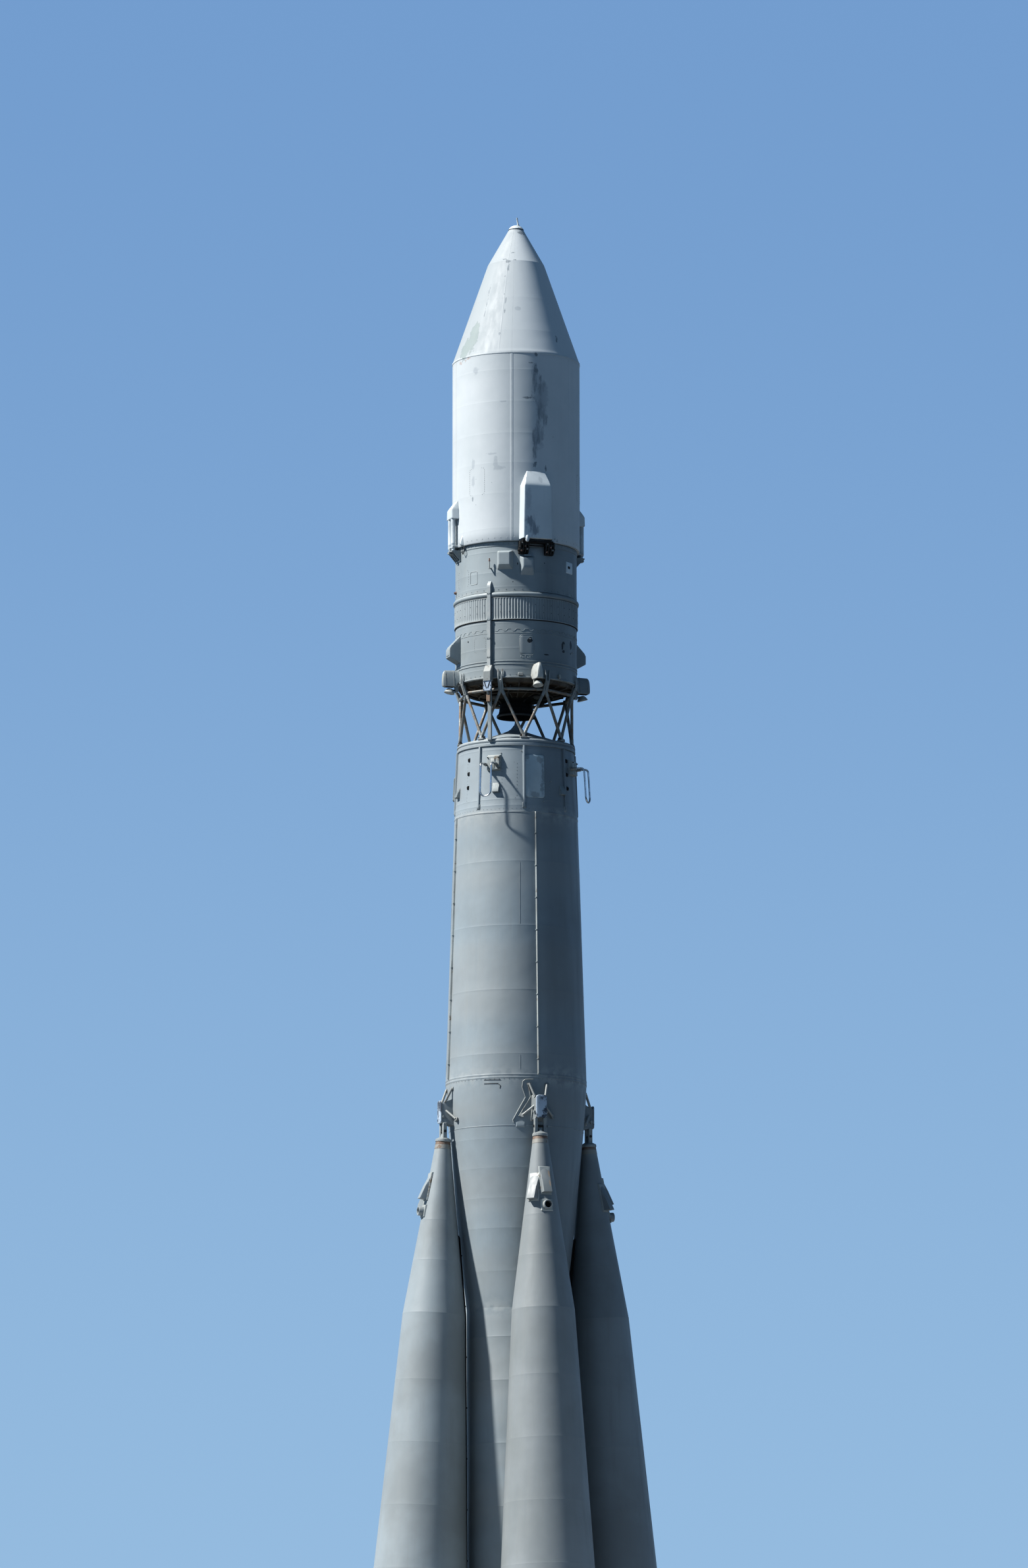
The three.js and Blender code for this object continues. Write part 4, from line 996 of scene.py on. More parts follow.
def fairing_pod():
    """The cover over a fairing lock: a tall box, narrower at its sloping top."""
    box = sheet_box(
        FAIRING_RADIUS, (POD_BASE, POD_TOP), 0.35, POD_OUT, (0.044, 0.018, 0.3), 0.21, 32.24, 0.014
    )
    rivets = [
        studs(np.degrees(np.array([-0.375, 0.375]) / 1.31), z, 1.3, 0.008, 0.012)
        for z in np.arange(31.2, 32.2, 0.12)
    ]
    rivets = [changed(rivet, turn_z(-FRONT)) for rivet in rivets]
    return [box, *rivets]


def lock_hood():
    """A short hood with two piston rods coming out below it and a cross block at their feet."""
    hood = sheet_box(FAIRING_RADIUS, (31.69, 32.09), 0.21, POD_OUT, (0.035, 0.02, 0.19), 0.16, 31.9, 0.016)
    rod_profile = [
        (0, 31.0186), (0.03, 31.0186), (0.036, 31.026), (0.036, 31.06), (0.048, 31.07), (0.052, 31.1),
        (0.052, 31.16), (0.054, 31.165), (0.054, 31.18), (0.052, 31.185), (0.052, 31.74), (0, 31.74)
    ]
    pistons = [changed(turned_body(rod_profile, 24), move(1.428, y, 0)) for y in (-0.095, 0.095)]
    foot = block((1.32, 1.462), (-0.165, 0.165), (31.085, 31.125), 0.008)
    return [hood, *pistons, foot]


for name, plane in PLANES.items():
    parts = fairing_pod() if name in ("front", "rear") else lock_hood()
    placed = [facing(part, plane) for part in parts]
    if name == "front":
        knob = turned_body([
            (0, 31.02), (0.028, 31.035), (0.043, 31.07), (0.042, 31.12), (0.028, 31.16), (0, 31.18)
        ], 24)
        placed.append(facing(changed(knob, move(1.478, -0.235, 0)), 0.0))
        placed.append(studs([19.0, 21.5], [31.16, 31.12], FAIRING_RADIUS, 0.014, 0.02, 8))
    piece(f"fairing_pod_{name}_cover", placed, [pod_paint], f"fairing_pod_{name}")

# %% [markdown]
# ## Third stage, forward skirt
# A short riveted cylinder under the fairing. It carries two cable boxes in front, the lock brackets under the
# pods, rows of bolts, a few stub antennas and a pale inspection cover on its right.

# %% Forward skirt
skirt_welds = (30.11, 30.42, 30.86)
skirt_rows = np.concatenate([
    rows_for(RING_TOP + SEAT, 30.97, 0.15, skirt_welds), [30.985, 30.99, 31.06, 31.068, FAIRING_BASE - SEAT]
])
skirt_radius = STAGE_RADIUS + weld_bumps(skirt_rows, skirt_welds, 0.0014)
skirt_radius = skirt_radius + 0.01 * (skirt_rows > 30.98) * (skirt_rows < 31.065)
skirt_body = turned_body([
    (0, RING_TOP + SEAT), *zip(skirt_radius, skirt_rows), (0, FAIRING_BASE - SEAT)
], BARREL_SIDES)

skirt_boxes = [
    facing(sheet_box(STAGE_RADIUS, (30.48, 30.88), 0.17, 0.12, (0.055, 0.085, 0.055)), -28.6),
    facing(sheet_box(STAGE_RADIUS, (30.36, 30.76), 0.155, 0.105, (0.055, 0.15, 0.055)), -7.6),
    facing(sheet_box(STAGE_RADIUS, (30.74, 30.8), 0.085, 0.06, 0.012), -7.6)
]
box_bolts = [
    dotted_frame(-28.6, 30.68, 0.158, 0.188, 0.02, STAGE_RADIUS, 0.07, 0.009, 0.012, 1),
    dotted_frame(-7.6, 30.56, 0.145, 0.188, 0.02, STAGE_RADIUS, 0.07, 0.009, 0.012, 1)
]
lock_blocks = []
lock_side = [(1.27, 30.8), (1.345, 30.83), (1.392, 30.93), (1.392, 31.06), (1.27, 31.07)]
for plane in (0.0, 180.0):
    for y in (-0.262, 0.3):
        cheeks = [
            changed(flat_plate(lock_side, 0.013, 2), move(0, y + dy, 0))
            for dy in (-0.085, -0.028, 0.028, 0.085)
        ]
        cluster = together(
            block((1.22, 1.315), (y - 0.1, y + 0.1), (30.8, 31.075), 0.012, 4), *cheeks,
            bar(1.352, (y - 0.105, y + 0.105), 31.00, 0.034, 16, 2),
            bar(1.345, (y - 0.112, y + 0.112), 30.92, 0.021, 14, 4),
            rods(
                [(1.36, y - 0.052, 31.02), (1.36, y + 0.055, 30.9)],
                [(1.41, y - 0.058, 31.03), (1.395, y + 0.06, 30.89)], 0.021, 12, 1, 0.016
            ),
            rods(
                [(1.35, y + 0.02, 30.955), (1.35, y - 0.06, 30.87)],
                [(1.402, y + 0.012, 30.95), (1.37, y - 0.07, 30.85)], 0.019, 12, 3
            )
        )
        lock_blocks.append(facing(cluster, plane))
    # The black block under the pod is painted shade below its open bottom.
    lever_and_shade_block = together(
        block((1.24, 1.43), (-0.33, 0.36), (31.03, 31.0795), 0.01, 4),
        swept([
            (1.3, -0.19, 30.99), (1.36, -0.12, 30.975), (1.37, 0.0, 30.97), (1.36, 0.1, 30.975),
            (1.3, 0.2, 30.99)
        ], 0.014, 8, finish=4),
        bar((1.335, 1.36), (-0.4, -0.27), (30.865, 30.905), 0.022, 10, 2, 0.03),
        bar((1.335, 1.33), (-0.4, -0.3), (30.865, 30.8), 0.016, 10, 4)
    )
    lock_blocks.append(facing(lever_and_shade_block, plane))
side_bracket = [(1.243, 30.79), (1.298, 30.81), (1.478, 31.0177), (1.243, 31.0177)]
bracket_lug = flat_plate([(1.35, 30.93), (1.5, 30.96), (1.5, 31.01), (1.35, 31.01)], 0.05, 1)
for plane in (90.0, 270.0):
    webs = [changed(flat_plate(side_bracket, 0.014, 0), move(0, y, 0)) for y in (-0.15, -0.05, 0.05, 0.15)]
    shelf = block((1.26, 1.478), (-0.165, 0.165), (30.99, 31.0175), 0.004)
    back = block((1.262, 1.3), (-0.165, 0.165), (30.79, 31.01), 0.004)
    lock_blocks.append(facing(together(*webs, shelf, back, bracket_lug), plane))

skirt_trim = [
    studs(np.arange(0, 360, 5), 31.026, STAGE_RADIUS + 0.008, 0.012, 0.012, 6, 1),
    studs(np.arange(2.5, 360, 7.5), 30.055, STAGE_RADIUS, 0.01, 0.008, 6, 1),
    dotted_frame(-78.7, 30.375, 0.21, 0.17, 0.04, STAGE_RADIUS, 0.05, 0.007, 0.005, 1),
    dotted_frame(120.0, 30.5, 0.2, 0.2, 0.04, STAGE_RADIUS, 0.05, 0.007, 0.005, 1),
    bead(frame_path(-62.0, 30.35, 0.1, 0.14, 0.03, STAGE_RADIUS)),
    studs([-97.2], [30.16], STAGE_RADIUS, 0.035, 0.05, 14, 3),
    facing(sheet_box(
        FAIRING_RADIUS, (31.086, 31.3), 0.048, 0.06, (0.034, 0.02, 0.15), 0.02, 31.14, 0.012, 6
    ), -75.2),
    facing(swept([
        (1.33, -0.03, 31.06), (1.345, -0.04, 30.96), (1.345, 0.0, 30.9), (1.345, 0.04, 30.96),
        (1.33, 0.03, 31.06)
    ], 0.01, 8, finish=2), -74.5)
]
antenna = together(
    bar((1.28, 1.37), 0, (30.52, 30.5), 0.014, 10, 1), bar(1.36, 0, (30.5, 30.66), 0.013, 10, 5),
    bar(1.36, 0, (30.66, 30.72), 0.02, 12, 3, 0.012)
)
skirt_trim.append(facing(antenna, -42.5))
cover_turn = (54.9 + 67.2) / 2 - CAMERA_TURN
pale_cover = facing(sheet_box(STAGE_RADIUS, (30.5, 30.75), 0.135, 0.01, 0.01, finish=6), cover_turn)
cover_mark = facing(sheet_box(STAGE_RADIUS, (30.6, 30.66), 0.045, 0.018, 0.006, finish=4), cover_turn - 1.5)
piece(
    "third_stage_forward_skirt_shell",
    [skirt_body, *skirt_boxes, *box_bolts, *lock_blocks, *skirt_trim, pale_cover, cover_mark],
    [stage_paint, grey_fitting, lock_steel, red_lead, black_and_painted_shade, light_fitting, pod_paint],
    "third_stage_forward_skirt"
)

# %% [markdown]
# ## Third stage, tank section
# A rolled ring and a band of corrugated sheet stiffen the gap between the two tanks. Its 132 ribs run round
# the band, so it gets eight columns for each rib. Below are the oxidizer tank, the aft skirt and its pods.

# %% Tank section
RIBS_ROUND, RIB_DEPTH = 132, 0.011


def corrugations(angle, row):
    """Ribs with flat tops and rounded valleys; the first and last rows stay round so that the band closes."""
    wave = np.cos(angle * RIBS_ROUND) * 0.5 + 0.5
    rib = np.clip(wave * 1.7 - 0.2, 0, 1) - 1
    return RIB_DEPTH * rib * ((row > 2) & (row < 11))


band_rows = [
    (1.24, BAND_BASE + 0.004), (BAND_RADIUS, BAND_BASE + 0.004), (BAND_RADIUS + 0.002, BAND_BASE + 0.02),
    (BAND_RADIUS, BAND_BASE + 0.028), (BAND_RADIUS, 29.5), (BAND_RADIUS, 29.6), (BAND_RADIUS, 29.68),
    (BAND_RADIUS, 29.76), (BAND_RADIUS, 29.82), (BAND_RADIUS, 29.85), (BAND_RADIUS, 29.865),
    (BAND_RADIUS + 0.002, 29.875), (BAND_RADIUS, 29.885), (1.24, 29.885)
]
band = turned_body(band_rows, RIBS_ROUND * 8, corrugations, 1)

roll_angle = np.linspace(-100, 130, 14) * math.pi / 180
rolled_ring = turned_body([
    (1.2, 29.886),
    *zip(1.27 + 0.06 * np.cos(roll_angle), 29.947 + 0.058 * np.sin(roll_angle)),
    (1.2, RING_TOP)
], BARREL_SIDES)

tank_welds = (28.36, 28.8, 29.34)
tank_rows = np.unique(np.concatenate([
    rows_for(AFT_SKIRT_BASE, BAND_BASE + 0.01, 0.12, tank_welds),
    [28.455, 28.46, 28.478, 28.484, 28.516, 28.522, 28.54, 28.545]
]))
tank_radius = STAGE_RADIUS + weld_bumps(tank_rows, tank_welds, 0.0016)
for low, high in ((28.457, 28.48), (28.52, 28.542)):
    tank_radius = tank_radius + 0.011 * ((tank_rows > low) & (tank_rows < high))
tank_body = turned_body([
    (0, AFT_SKIRT_BASE), *zip(tank_radius, tank_rows), (0, BAND_BASE + 0.01)
], BARREL_SIDES)
skirt_rim = turned_body([
    (1.2, 28.172), (1.29, 28.172), (1.297, 28.178), (1.297, 28.196), (1.29, 28.202), (1.2, 28.202)
], BARREL_SIDES)

SCALLOPS = 44
wave_turn = circle(SCALLOPS * 20)
tooth = np.clip(np.abs((wave_turn * SCALLOPS / (2 * np.pi)) % 1 - 0.5) * 5 - 0.6, 0, 1)
scallops = around(STAGE_RADIUS + 0.002, wave_turn, 29.165 + 0.045 * tooth)
scalloped_edge_and_shade_ring = together(
    swept(scallops, 0.0038, 6, True, (0.02, 0.03, 1)),
    swept(around(STAGE_RADIUS + 0.001, wave_turn, 29.125), 0.0045, 6, True, (0.02, 0.03, 1)),
    # A black ring just under the band: painted shade beneath its overhang.
    turned_body([
        (1.24, BAND_BASE - 0.012), (STAGE_RADIUS + 0.014, BAND_BASE - 0.012),
        (STAGE_RADIUS + 0.014, BAND_BASE + 0.006), (1.24, BAND_BASE + 0.006)
    ], BARREL_SIDES, finish=3)
)
band_rivets = studs(
    np.repeat(np.arange(0, 360, 360 / SCALLOPS), 2), np.tile([29.57, 29.73], SCALLOPS), BAND_RADIUS - 0.006,
    0.009, 0.012, 6, 3
)

aft_pod = sheet_box(STAGE_RADIUS, (28.61, 29.185), 0.15, 0.228, (0.014, 0.125, 0.25), soft=0.008)
pod_cap = sheet_box(STAGE_RADIUS + 0.215, (28.76, 28.91), 0.11, 0.022, 0.01)
aft_pods = again(together(aft_pod, pod_cap), [90.0, 270.0])


def cut_plate(outline, half_width, cut=0.008, finish=0):
    """A plate with its two long edges cut back: four sections across it, the outer two drawn in a little."""
    outline = np.asarray(outline, float)
    middle = outline.mean(0)
    away = outline - middle
    drawn = middle + away * (1 - cut / np.linalg.norm(away, axis=1, keepdims=True))
    sections = [
        (drawn, -half_width), (outline, -half_width + cut), (outline, half_width - cut), (drawn, half_width)
    ]
    rings = [np.stack([shape_[:, 0], np.full(len(outline), y), shape_[:, 1]], -1) for shape_, y in sections]
    part = lofted(rings, finish)
    return part[0], part[1][:, [0, 3, 2, 1]], part[2]


steer_lug = cut_plate([(1.29, 27.995), (1.36, 27.995), (1.36, 28.2), (1.29, 28.2)], 0.045, 0.005)
HOUSING_TOP, HOUSING_HALF = 28.465, 0.095


def arched_ring(x, low, high, half):
    """A section of the housing at x: flat below, then sides that lean in to a narrow ridge, like a tent."""
    shoulder = low + 0.14 * (high - low)
    t = np.array([0, 0.3, 0.58, 0.82, 0.95, 1.0])
    y_up = half - (half - 0.012) * t**1.35
    z_up = shoulder + (high - shoulder) * np.sin(t * np.pi / 2) ** 0.92
    right_y = np.concatenate([[half - 0.012, half], y_up])
    right_z = np.concatenate([[low, low + 0.012], z_up])
    y, z = np.concatenate([right_y, -right_y[::-1]]), np.concatenate([right_z, right_z[::-1]])
    return np.stack([np.full_like(y, x), y, z], -1)


housing_levels = [
    (1.225, 28.25, 1.0, 0.0), (1.3, 28.19, 1.0, 0.0), (1.36, 28.115, 0.98, 0.0), (1.45, 28.112, 0.88, 0.0),
    (1.56, 28.112, 0.76, 0.004), (1.6, 28.114, 0.71, 0.018), (1.62, 28.125, 0.66, 0.05),
    (1.629, 28.145, 0.6, 0.085), (1.632, 28.17, 0.52, 0.12)
]
housing_shell = lofted([
    arched_ring(x, low, HOUSING_TOP - drop, HOUSING_HALF * wide) for x, low, wide, drop in housing_levels
])
housing_seam = swept(
    arched_ring(1.4, 28.108, HOUSING_TOP + 0.003, 0.94 * HOUSING_HALF + 0.002), 0.005, 6, True, (1, 0, 0), 2
)
housing_seam_out = swept(
    arched_ring(1.575, 28.108, HOUSING_TOP - 0.006, 0.745 * HOUSING_HALF + 0.001), 0.004, 6, True, (1, 0, 0),
    2
)
housing_vent = block((1.4, 1.58), (-0.06, 0.06), (28.107, 28.118), 0.004, 3)
housing = together(housing_shell, steer_lug, housing_seam, housing_seam_out, housing_vent)
front_housing = together(housing_shell, steer_lug, housing_vent)
front_housing = (front_housing[0], front_housing[1], np.where(front_housing[2] == 0, 5, front_housing[2]))

hatch_turn = (3.5 + 17.2) / 2 - CAMERA_TURN
dotted_turn = (-42.9 - 29.8) / 2 - CAMERA_TURN
tank_trim = [
    facing(sheet_box(STAGE_RADIUS, (28.66, 29.08), 0.15, 0.002, 0.006, corner=0.07), hatch_turn),
    bead(frame_path(hatch_turn, 28.87, 0.155, 0.215, 0.07, STAGE_RADIUS), 0.006, 0),
    studs(
        hatch_turn + np.array([-5.6, -4.0, -1.5, 1.0, 3.2, 5.0]), [28.62, 28.6, 28.63, 28.6, 28.62, 28.64],
        STAGE_RADIUS, 0.02, 0.006, 7, 0
    ),
    dotted_frame(dotted_turn, 28.9, 0.147, 0.15, 0.03, STAGE_RADIUS, 0.045, 0.007, 0.005, 2),
    dotted_frame(128.0, 28.9, 0.15, 0.15, 0.03, STAGE_RADIUS, 0.045, 0.007, 0.005, 2),
    studs([-4.7, 34.0, 48.5, -70.0], [29.0, 28.94, 28.83, 29.02], STAGE_RADIUS, 0.02, 0.016, 10, 2),
    studs(np.arange(0, 360, 6), 28.235, STAGE_RADIUS, 0.01, 0.008, 6, 2),
    facing(block((1.27, 1.34), (-0.05, 0.05), (28.21, 28.27), 0.006, 4), -14.0),
    facing(block((1.27, 1.33), (-0.03, 0.03), (28.2, 28.29), 0.006, 4), 26.0)
]
piece(
    "third_stage_tank_section_shell",
    [
        tank_body, skirt_rim, band, rolled_ring, band_rivets, scalloped_edge_and_shade_ring, aft_pods,
        again(housing, [90.0, 180.0, 270.0]), facing(front_housing, 0.0), *tank_trim
    ],
    [stage_paint, band_paint, grey_fitting, black_and_painted_shade, light_fitting, cream_boot],
    "third_stage_tank_section"
)

# %% [markdown]
# ## Third-stage engine bay
# From below you look into a scorched heat shield with ribs and pipes, and one short black bell in the middle.
# The bell is turned with a real wall, so it is open from below.

# %% Underside and engine bell of the third stage
shield = turned_body([
    (0, 27.93), (0.42, 27.905), (0.6, 27.94), (0.9, 28.005), (1.05, 28.04), (1.18, 28.075), (1.2, 28.085),
    (1.214, 28.12), (1.214, AFT_SKIRT_BASE - SEAT), (0, AFT_SKIRT_BASE - SEAT)
], 120)
rib_angle = np.radians(np.arange(0, 360, 15))
shield_ribs = rods(around(0.42, rib_angle, 27.905), around(1.19, rib_angle, 28.07), 0.014, 8, 0, 0.018)
ring_turns = circle(120)
pipe_rings = [
    swept(around(0.78, ring_turns, 27.955), 0.02, 8, True),
    swept(around(1.02, ring_turns, 28.015), 0.014, 8, True, finish=1)
]
pipe_angle = np.radians([12, 47, 96, 141, 188, 226, 279, 318])
pipe_bends = [
    swept(around(
        np.array([0.34, 0.4, 0.52, 0.7, 0.9, 1.1]), a + np.linspace(0, 0.35, 6),
        np.array([27.82, 27.88, 27.9, 27.93, 27.97, 28.05])
    ), 0.02, 8, finish=2)
    for a in pipe_angle
]
bottle_profile = [(0, -0.07), (0.06, -0.05), (0.085, 0), (0.06, 0.05), (0, 0.07)]
bottle = changed(turned_body(bottle_profile, 16, finish=1), move(0.66, 0, 27.9))
bottles = [facing(bottle, turn) for turn in (24, 110, 205, 300)]
bell_wall = turned_body([
    (0, 27.87), (0.12, 27.865), (0.2, 27.82), (0.265, 27.73), (0.325, 27.6), (0.36, 27.552), (0.39, 27.527),
    (0.402, 27.524), (0.41, 27.533), (0.41, 27.566), (0.398, 27.578), (0.385, 27.59), (0.368, 27.615),
    (0.352, 27.68), (0.354, 27.688), (0.354, 27.7), (0.349, 27.708), (0.34, 27.78), (0.342, 27.788),
    (0.342, 27.8), (0.337, 27.808), (0.33, 27.905), (0, 27.905)
], 96, finish=1)
piece(
    "third_stage_engine_bay", [shield, shield_ribs, *pipe_rings, *pipe_bends, *bottles, bell_wall],
    [underside_metal, black_bell, lock_steel], "third_stage_engine"
)

# %% [markdown]
# ### Third-stage steering nozzles
# Under each housing hangs a small steering engine behind a cream cover. It swings about a radial pin, so each
# one is its own piece on its own moving body.

# %% Steering nozzles
STEER_HINGE, NOZZLE_OUT, NOZZLE_SPLAY = 28.04, 1.467, 14.0
cup_profile = [
    (0, -0.026), (0.034, -0.026), (0.05, -0.032), (0.098, -0.062), (0.104, -0.066), (0.111, -0.065),
    (0.113, -0.058), (0.104, -0.04), (0.084, -0.006), (0.069, 0.014), (0.058, 0.026), (0.042, 0.036),
    (0, 0.038)
]
cup = changed(turned_body(cup_profile, 48), move(NOZZLE_OUT, 0, STEER_HINGE) @ turn_y(-NOZZLE_SPLAY))
steer_pin = bar((1.3604, NOZZLE_OUT), 0, STEER_HINGE, 0.018, 16, 1)
steer_collar = bar((1.395, 1.425), 0, STEER_HINGE, 0.026, 16, 1)
for name, plane in PLANES.items():
    piece(
        f"steering_nozzle_{name}_cup", [facing(together(cup, steer_pin, steer_collar), plane)],
        [cream_boot, lock_steel], f"steering_nozzle_{name}", f"nozzle_{name}"
    )

# %% [markdown]
# ## Cable duct
# A sheet duct carries cables from the core past the truss and up the third stage. It is a rectangle whose
# sides move in and out with height, so it is lofted from stacked rectangles and strapped at intervals.

# %% Cable duct
def box_section(x_in, x_out, half, z, cut=0.006):
    """A rectangle with cut corners at a height, anticlockwise from above."""
    c = cut
    points = [
        (x_out, -half + c), (x_out, half - c), (x_out - c, half), (x_in + c, half), (x_in, half - c),
        (x_in, -half + c), (x_in + c, -half), (x_out - c, -half)
    ]
    return np.array([(x, y, z) for x, y in points])


STRAP_HEIGHTS = (28.62, 29.02, 29.42, 29.98)
duct_levels = [
    (26.845, 1.252, 1.288), (26.87, 1.252, 1.308), (27.6, 1.262, 1.31), (27.72, 1.262, 1.331),
    (28.14, 1.262, 1.404), (28.24, 1.27, 1.404), (28.42, 1.27, 1.345), (30.1, 1.275, 1.345),
    (30.16, 1.275, 1.342), (30.2, 1.27, 1.32), (30.24, 1.265, 1.29)
]
duct_rings = [box_section(x_in, x_out, 0.0415, z) for z, x_in, x_out in duct_levels]
duct_straps = [
    lofted([box_section(1.27, 1.352, 0.047, z + dz, 0.008) for dz in (-0.018, -0.014, 0.014, 0.018)])
    for z in STRAP_HEIGHTS
]
duct_bolts = [bar((1.33, 1.358), y, z, 0.008, 6, 1) for z in STRAP_HEIGHTS for y in (-0.03, 0.03)]
shoe_side = [(1.3, 28.1), (1.44, 28.1), (1.44, 28.3), (1.352, 28.44), (1.3, 28.44)]
duct_shoe = cut_plate(shoe_side, 0.085, 0.01, 2)
duct_strap = block((1.318, 1.372), (-0.046, 0.046), (27.665, 27.885), 0.008, 5)
duct_plate = block((1.396, 1.424), (-0.093, 0.093), (27.89, 28.112), 0.005, 3)
duct_glands = [bar(1.426, (y, y * 0.25), (28.075, 27.945), 0.009, 10, 4) for y in (-0.06, 0.06)]
duct_glands.append(bar((1.405, 1.345), 0.0, (27.9, 27.8), 0.022, 12, 1))
plate_rivets = [bar((1.42, 1.431), y, z, 0.01, 6, 4) for y in (-0.075, 0.075) for z in (27.915, 28.0, 28.085)]
duct = together(
    lofted(duct_rings), *duct_straps, *duct_bolts, duct_shoe, duct_strap, duct_plate, *duct_glands,
    *plate_rivets
)
piece(
    "cable_duct_sheet", [facing(duct, DUCT_TURN)],
    [stage_paint, grey_fitting, hatch_paint, bright_panel, lock_steel, tan_rust], "cable_duct"
)

# %% [markdown]
# ## Interstage truss
# Sixteen tubes in eight Vs hold the third stage while its engine starts before the stages part. Each tube is
# a straight bar; all are made at once from arrays of their two ends, with thicker sleeves at the ends.

# %% Truss
TRUSS_RADIUS, TRUSS_FOOT_RADIUS, NODE_HEIGHT, FOOT_HEIGHT = 1.215, 1.19, 27.955, 26.96
feet_turns = FOOT_TURN + 45.0 * np.arange(8)
node_turns = feet_turns + 22.5
feet = around(TRUSS_FOOT_RADIUS, np.radians(FRONT + feet_turns), FOOT_HEIGHT)
nodes_after = around(TRUSS_RADIUS, np.radians(FRONT + node_turns), NODE_HEIGHT)
nodes_before = np.roll(nodes_after, 1, 0)
starts = np.concatenate([feet, feet])
ends = np.concatenate([nodes_after, nodes_before])


def between(a, b, t):
    """Points a share t of the way from a to b."""
    return a + t * (b - a)


struts = [
    rods(starts, ends, 0.031, 20),
    rods(between(starts, ends, 0.04), between(starts, ends, 0.13), 0.037, 20, 1, 0.034),
    rods(between(starts, ends, 0.86), between(starts, ends, 0.96), 0.034, 20, 1, 0.038),
    rods(between(starts, ends, 0.48), between(starts, ends, 0.5), 0.0335, 20, 1)
]
nodes_next = np.roll(nodes_after, -1, 0)
hoop_tubes = rods(between(nodes_after, nodes_next, 0.02), between(nodes_after, nodes_next, 0.98), 0.031, 20)
node_balls = rods(nodes_after - [0, 0, 0.05], nodes_after + [0, 0, 0.05], 0.052, 20, 1)
foot_block = together(
    block((1.135, 1.244), (-0.073, 0.073), (26.9006, 26.935), 0.006, 1),
    cut_plate([(1.14, 26.93), (1.24, 26.93), (1.225, 26.995), (1.155, 26.995)], 0.03, 0.006, 1),
    bar(1.18, (-0.075, 0.075), 26.962, 0.018, 12, 2),
    rods(
        [(1.155, -0.055, 26.93), (1.155, 0.055, 26.93), (1.225, -0.055, 26.93), (1.225, 0.055, 26.93)],
        [(1.155, -0.055, 26.955), (1.155, 0.055, 26.955), (1.225, -0.055, 26.955), (1.225, 0.055, 26.955)],
        0.012, 6, 2
    )
)


def fork_prong(y, tip_y):
    """One prong of a node's fork: a flat finger from the node up and out over the aft skirt's edge."""
    path = np.array([
        (1.232, y, 27.93), (1.262, y, 28.02), (1.312, y, 28.13), (1.322, y * 1.05, 28.21),
        (1.306, tip_y, 28.36)
    ])
    steps = np.linspace(0, 4, 17)
    smooth = np.stack([np.interp(steps, np.arange(5), path[:, i]) for i in range(3)], -1)
    return swept(
        smooth, np.interp(steps, [0, 2, 3.2, 4], [0.026, 0.024, 0.02, 0.007]), 8, False, (0, 1, 0), 1
    )


fork_web = cut_plate([
    (1.19, 27.9), (1.262, 27.9), (1.33, 28.12), (1.3, 28.165), (1.235, 28.1)
], 0.022, 0.005, 1)
fork_pin = bar(1.29, (-0.06, 0.06), 28.12, 0.016, 10, 2)
fork = together(fork_prong(-0.034, -0.052), fork_prong(0.034, 0.052), fork_web, fork_pin)
piece(
    "interstage_truss_tubes",
    [*struts, hoop_tubes, node_balls, again(foot_block, feet_turns), again(fork, node_turns)],
    [truss_paint, grey_fitting, lock_steel], "interstage_truss"
)

# %% [markdown]
# ## Instrument bay of the core
# The head of the core carries the truss on a thick flange and a shallow dome that turns the flame aside.
# Eight ribs lead the load down. Latches, small wedges and a pale hatch sit between them.

# %% Instrument bay
bay_welds = (25.47, 25.6, 26.66)
bay_rows = rows_for(BAY_BASE + SEAT, FLANGE_BASE - 0.004, 0.12, bay_welds)
bay_radius = core_radius(bay_rows) + weld_bumps(bay_rows, bay_welds, 0.002)
bay_profile = [
    (0, BAY_BASE + SEAT), *zip(bay_radius, bay_rows), (1.246, 26.743), (FLANGE_RADIUS, 26.748),
    (FLANGE_RADIUS, 26.796), (1.238, 26.806), (1.238, 26.828), (1.248, 26.838), (1.248, 26.862),
    (1.222, 26.897), (1.1, 26.898), (1.08, 26.905), (1.00, 26.94), (0.9, 26.98), (0.72, 27.045),
    (0.52, 27.105), (0.34, 27.17), (0.18, 27.235), (0.11, 27.285), (0.06, 27.35), (0.036, 27.38),
    (0.028, 27.42), (0.028, 27.505), (0.022, 27.515), (0, 27.515)
]
bay_shell = turned_body(bay_profile, BARREL_SIDES)
rib = sheet_box(core_radius, (25.41, 26.745), 0.0275, 0.037, (0.008, 0.03, 0.008), lean=0.011)
rib_shoe = sheet_box(core_radius, (25.4, 25.52), 0.045, 0.02, (0.01, 0.02, 0.02), finish=1)
wedge = sheet_box(core_radius, (25.74, 25.95), 0.08, 0.075, (0.012, 0.012, 0.17), finish=1)
latch = together(
    sheet_box(core_radius, (26.165, 26.245), 0.03, 0.022, 0.008, finish=3),
    bar((1.25, 1.285), 0, 26.205, 0.012, 10, 3)
)
latches = [
    facing(changed(latch, move(out, 0, dz)), t) for dz, out in ((0.295, -0.015), (0.0, 0.0), (-0.295, 0.015))
    for t in (-70.5, 40.0, 100.0, 190.0)
]
hatch = sheet_box(core_radius, (25.635, 26.55), 0.215, 0.01, 0.008, finish=4, corner=0.06)
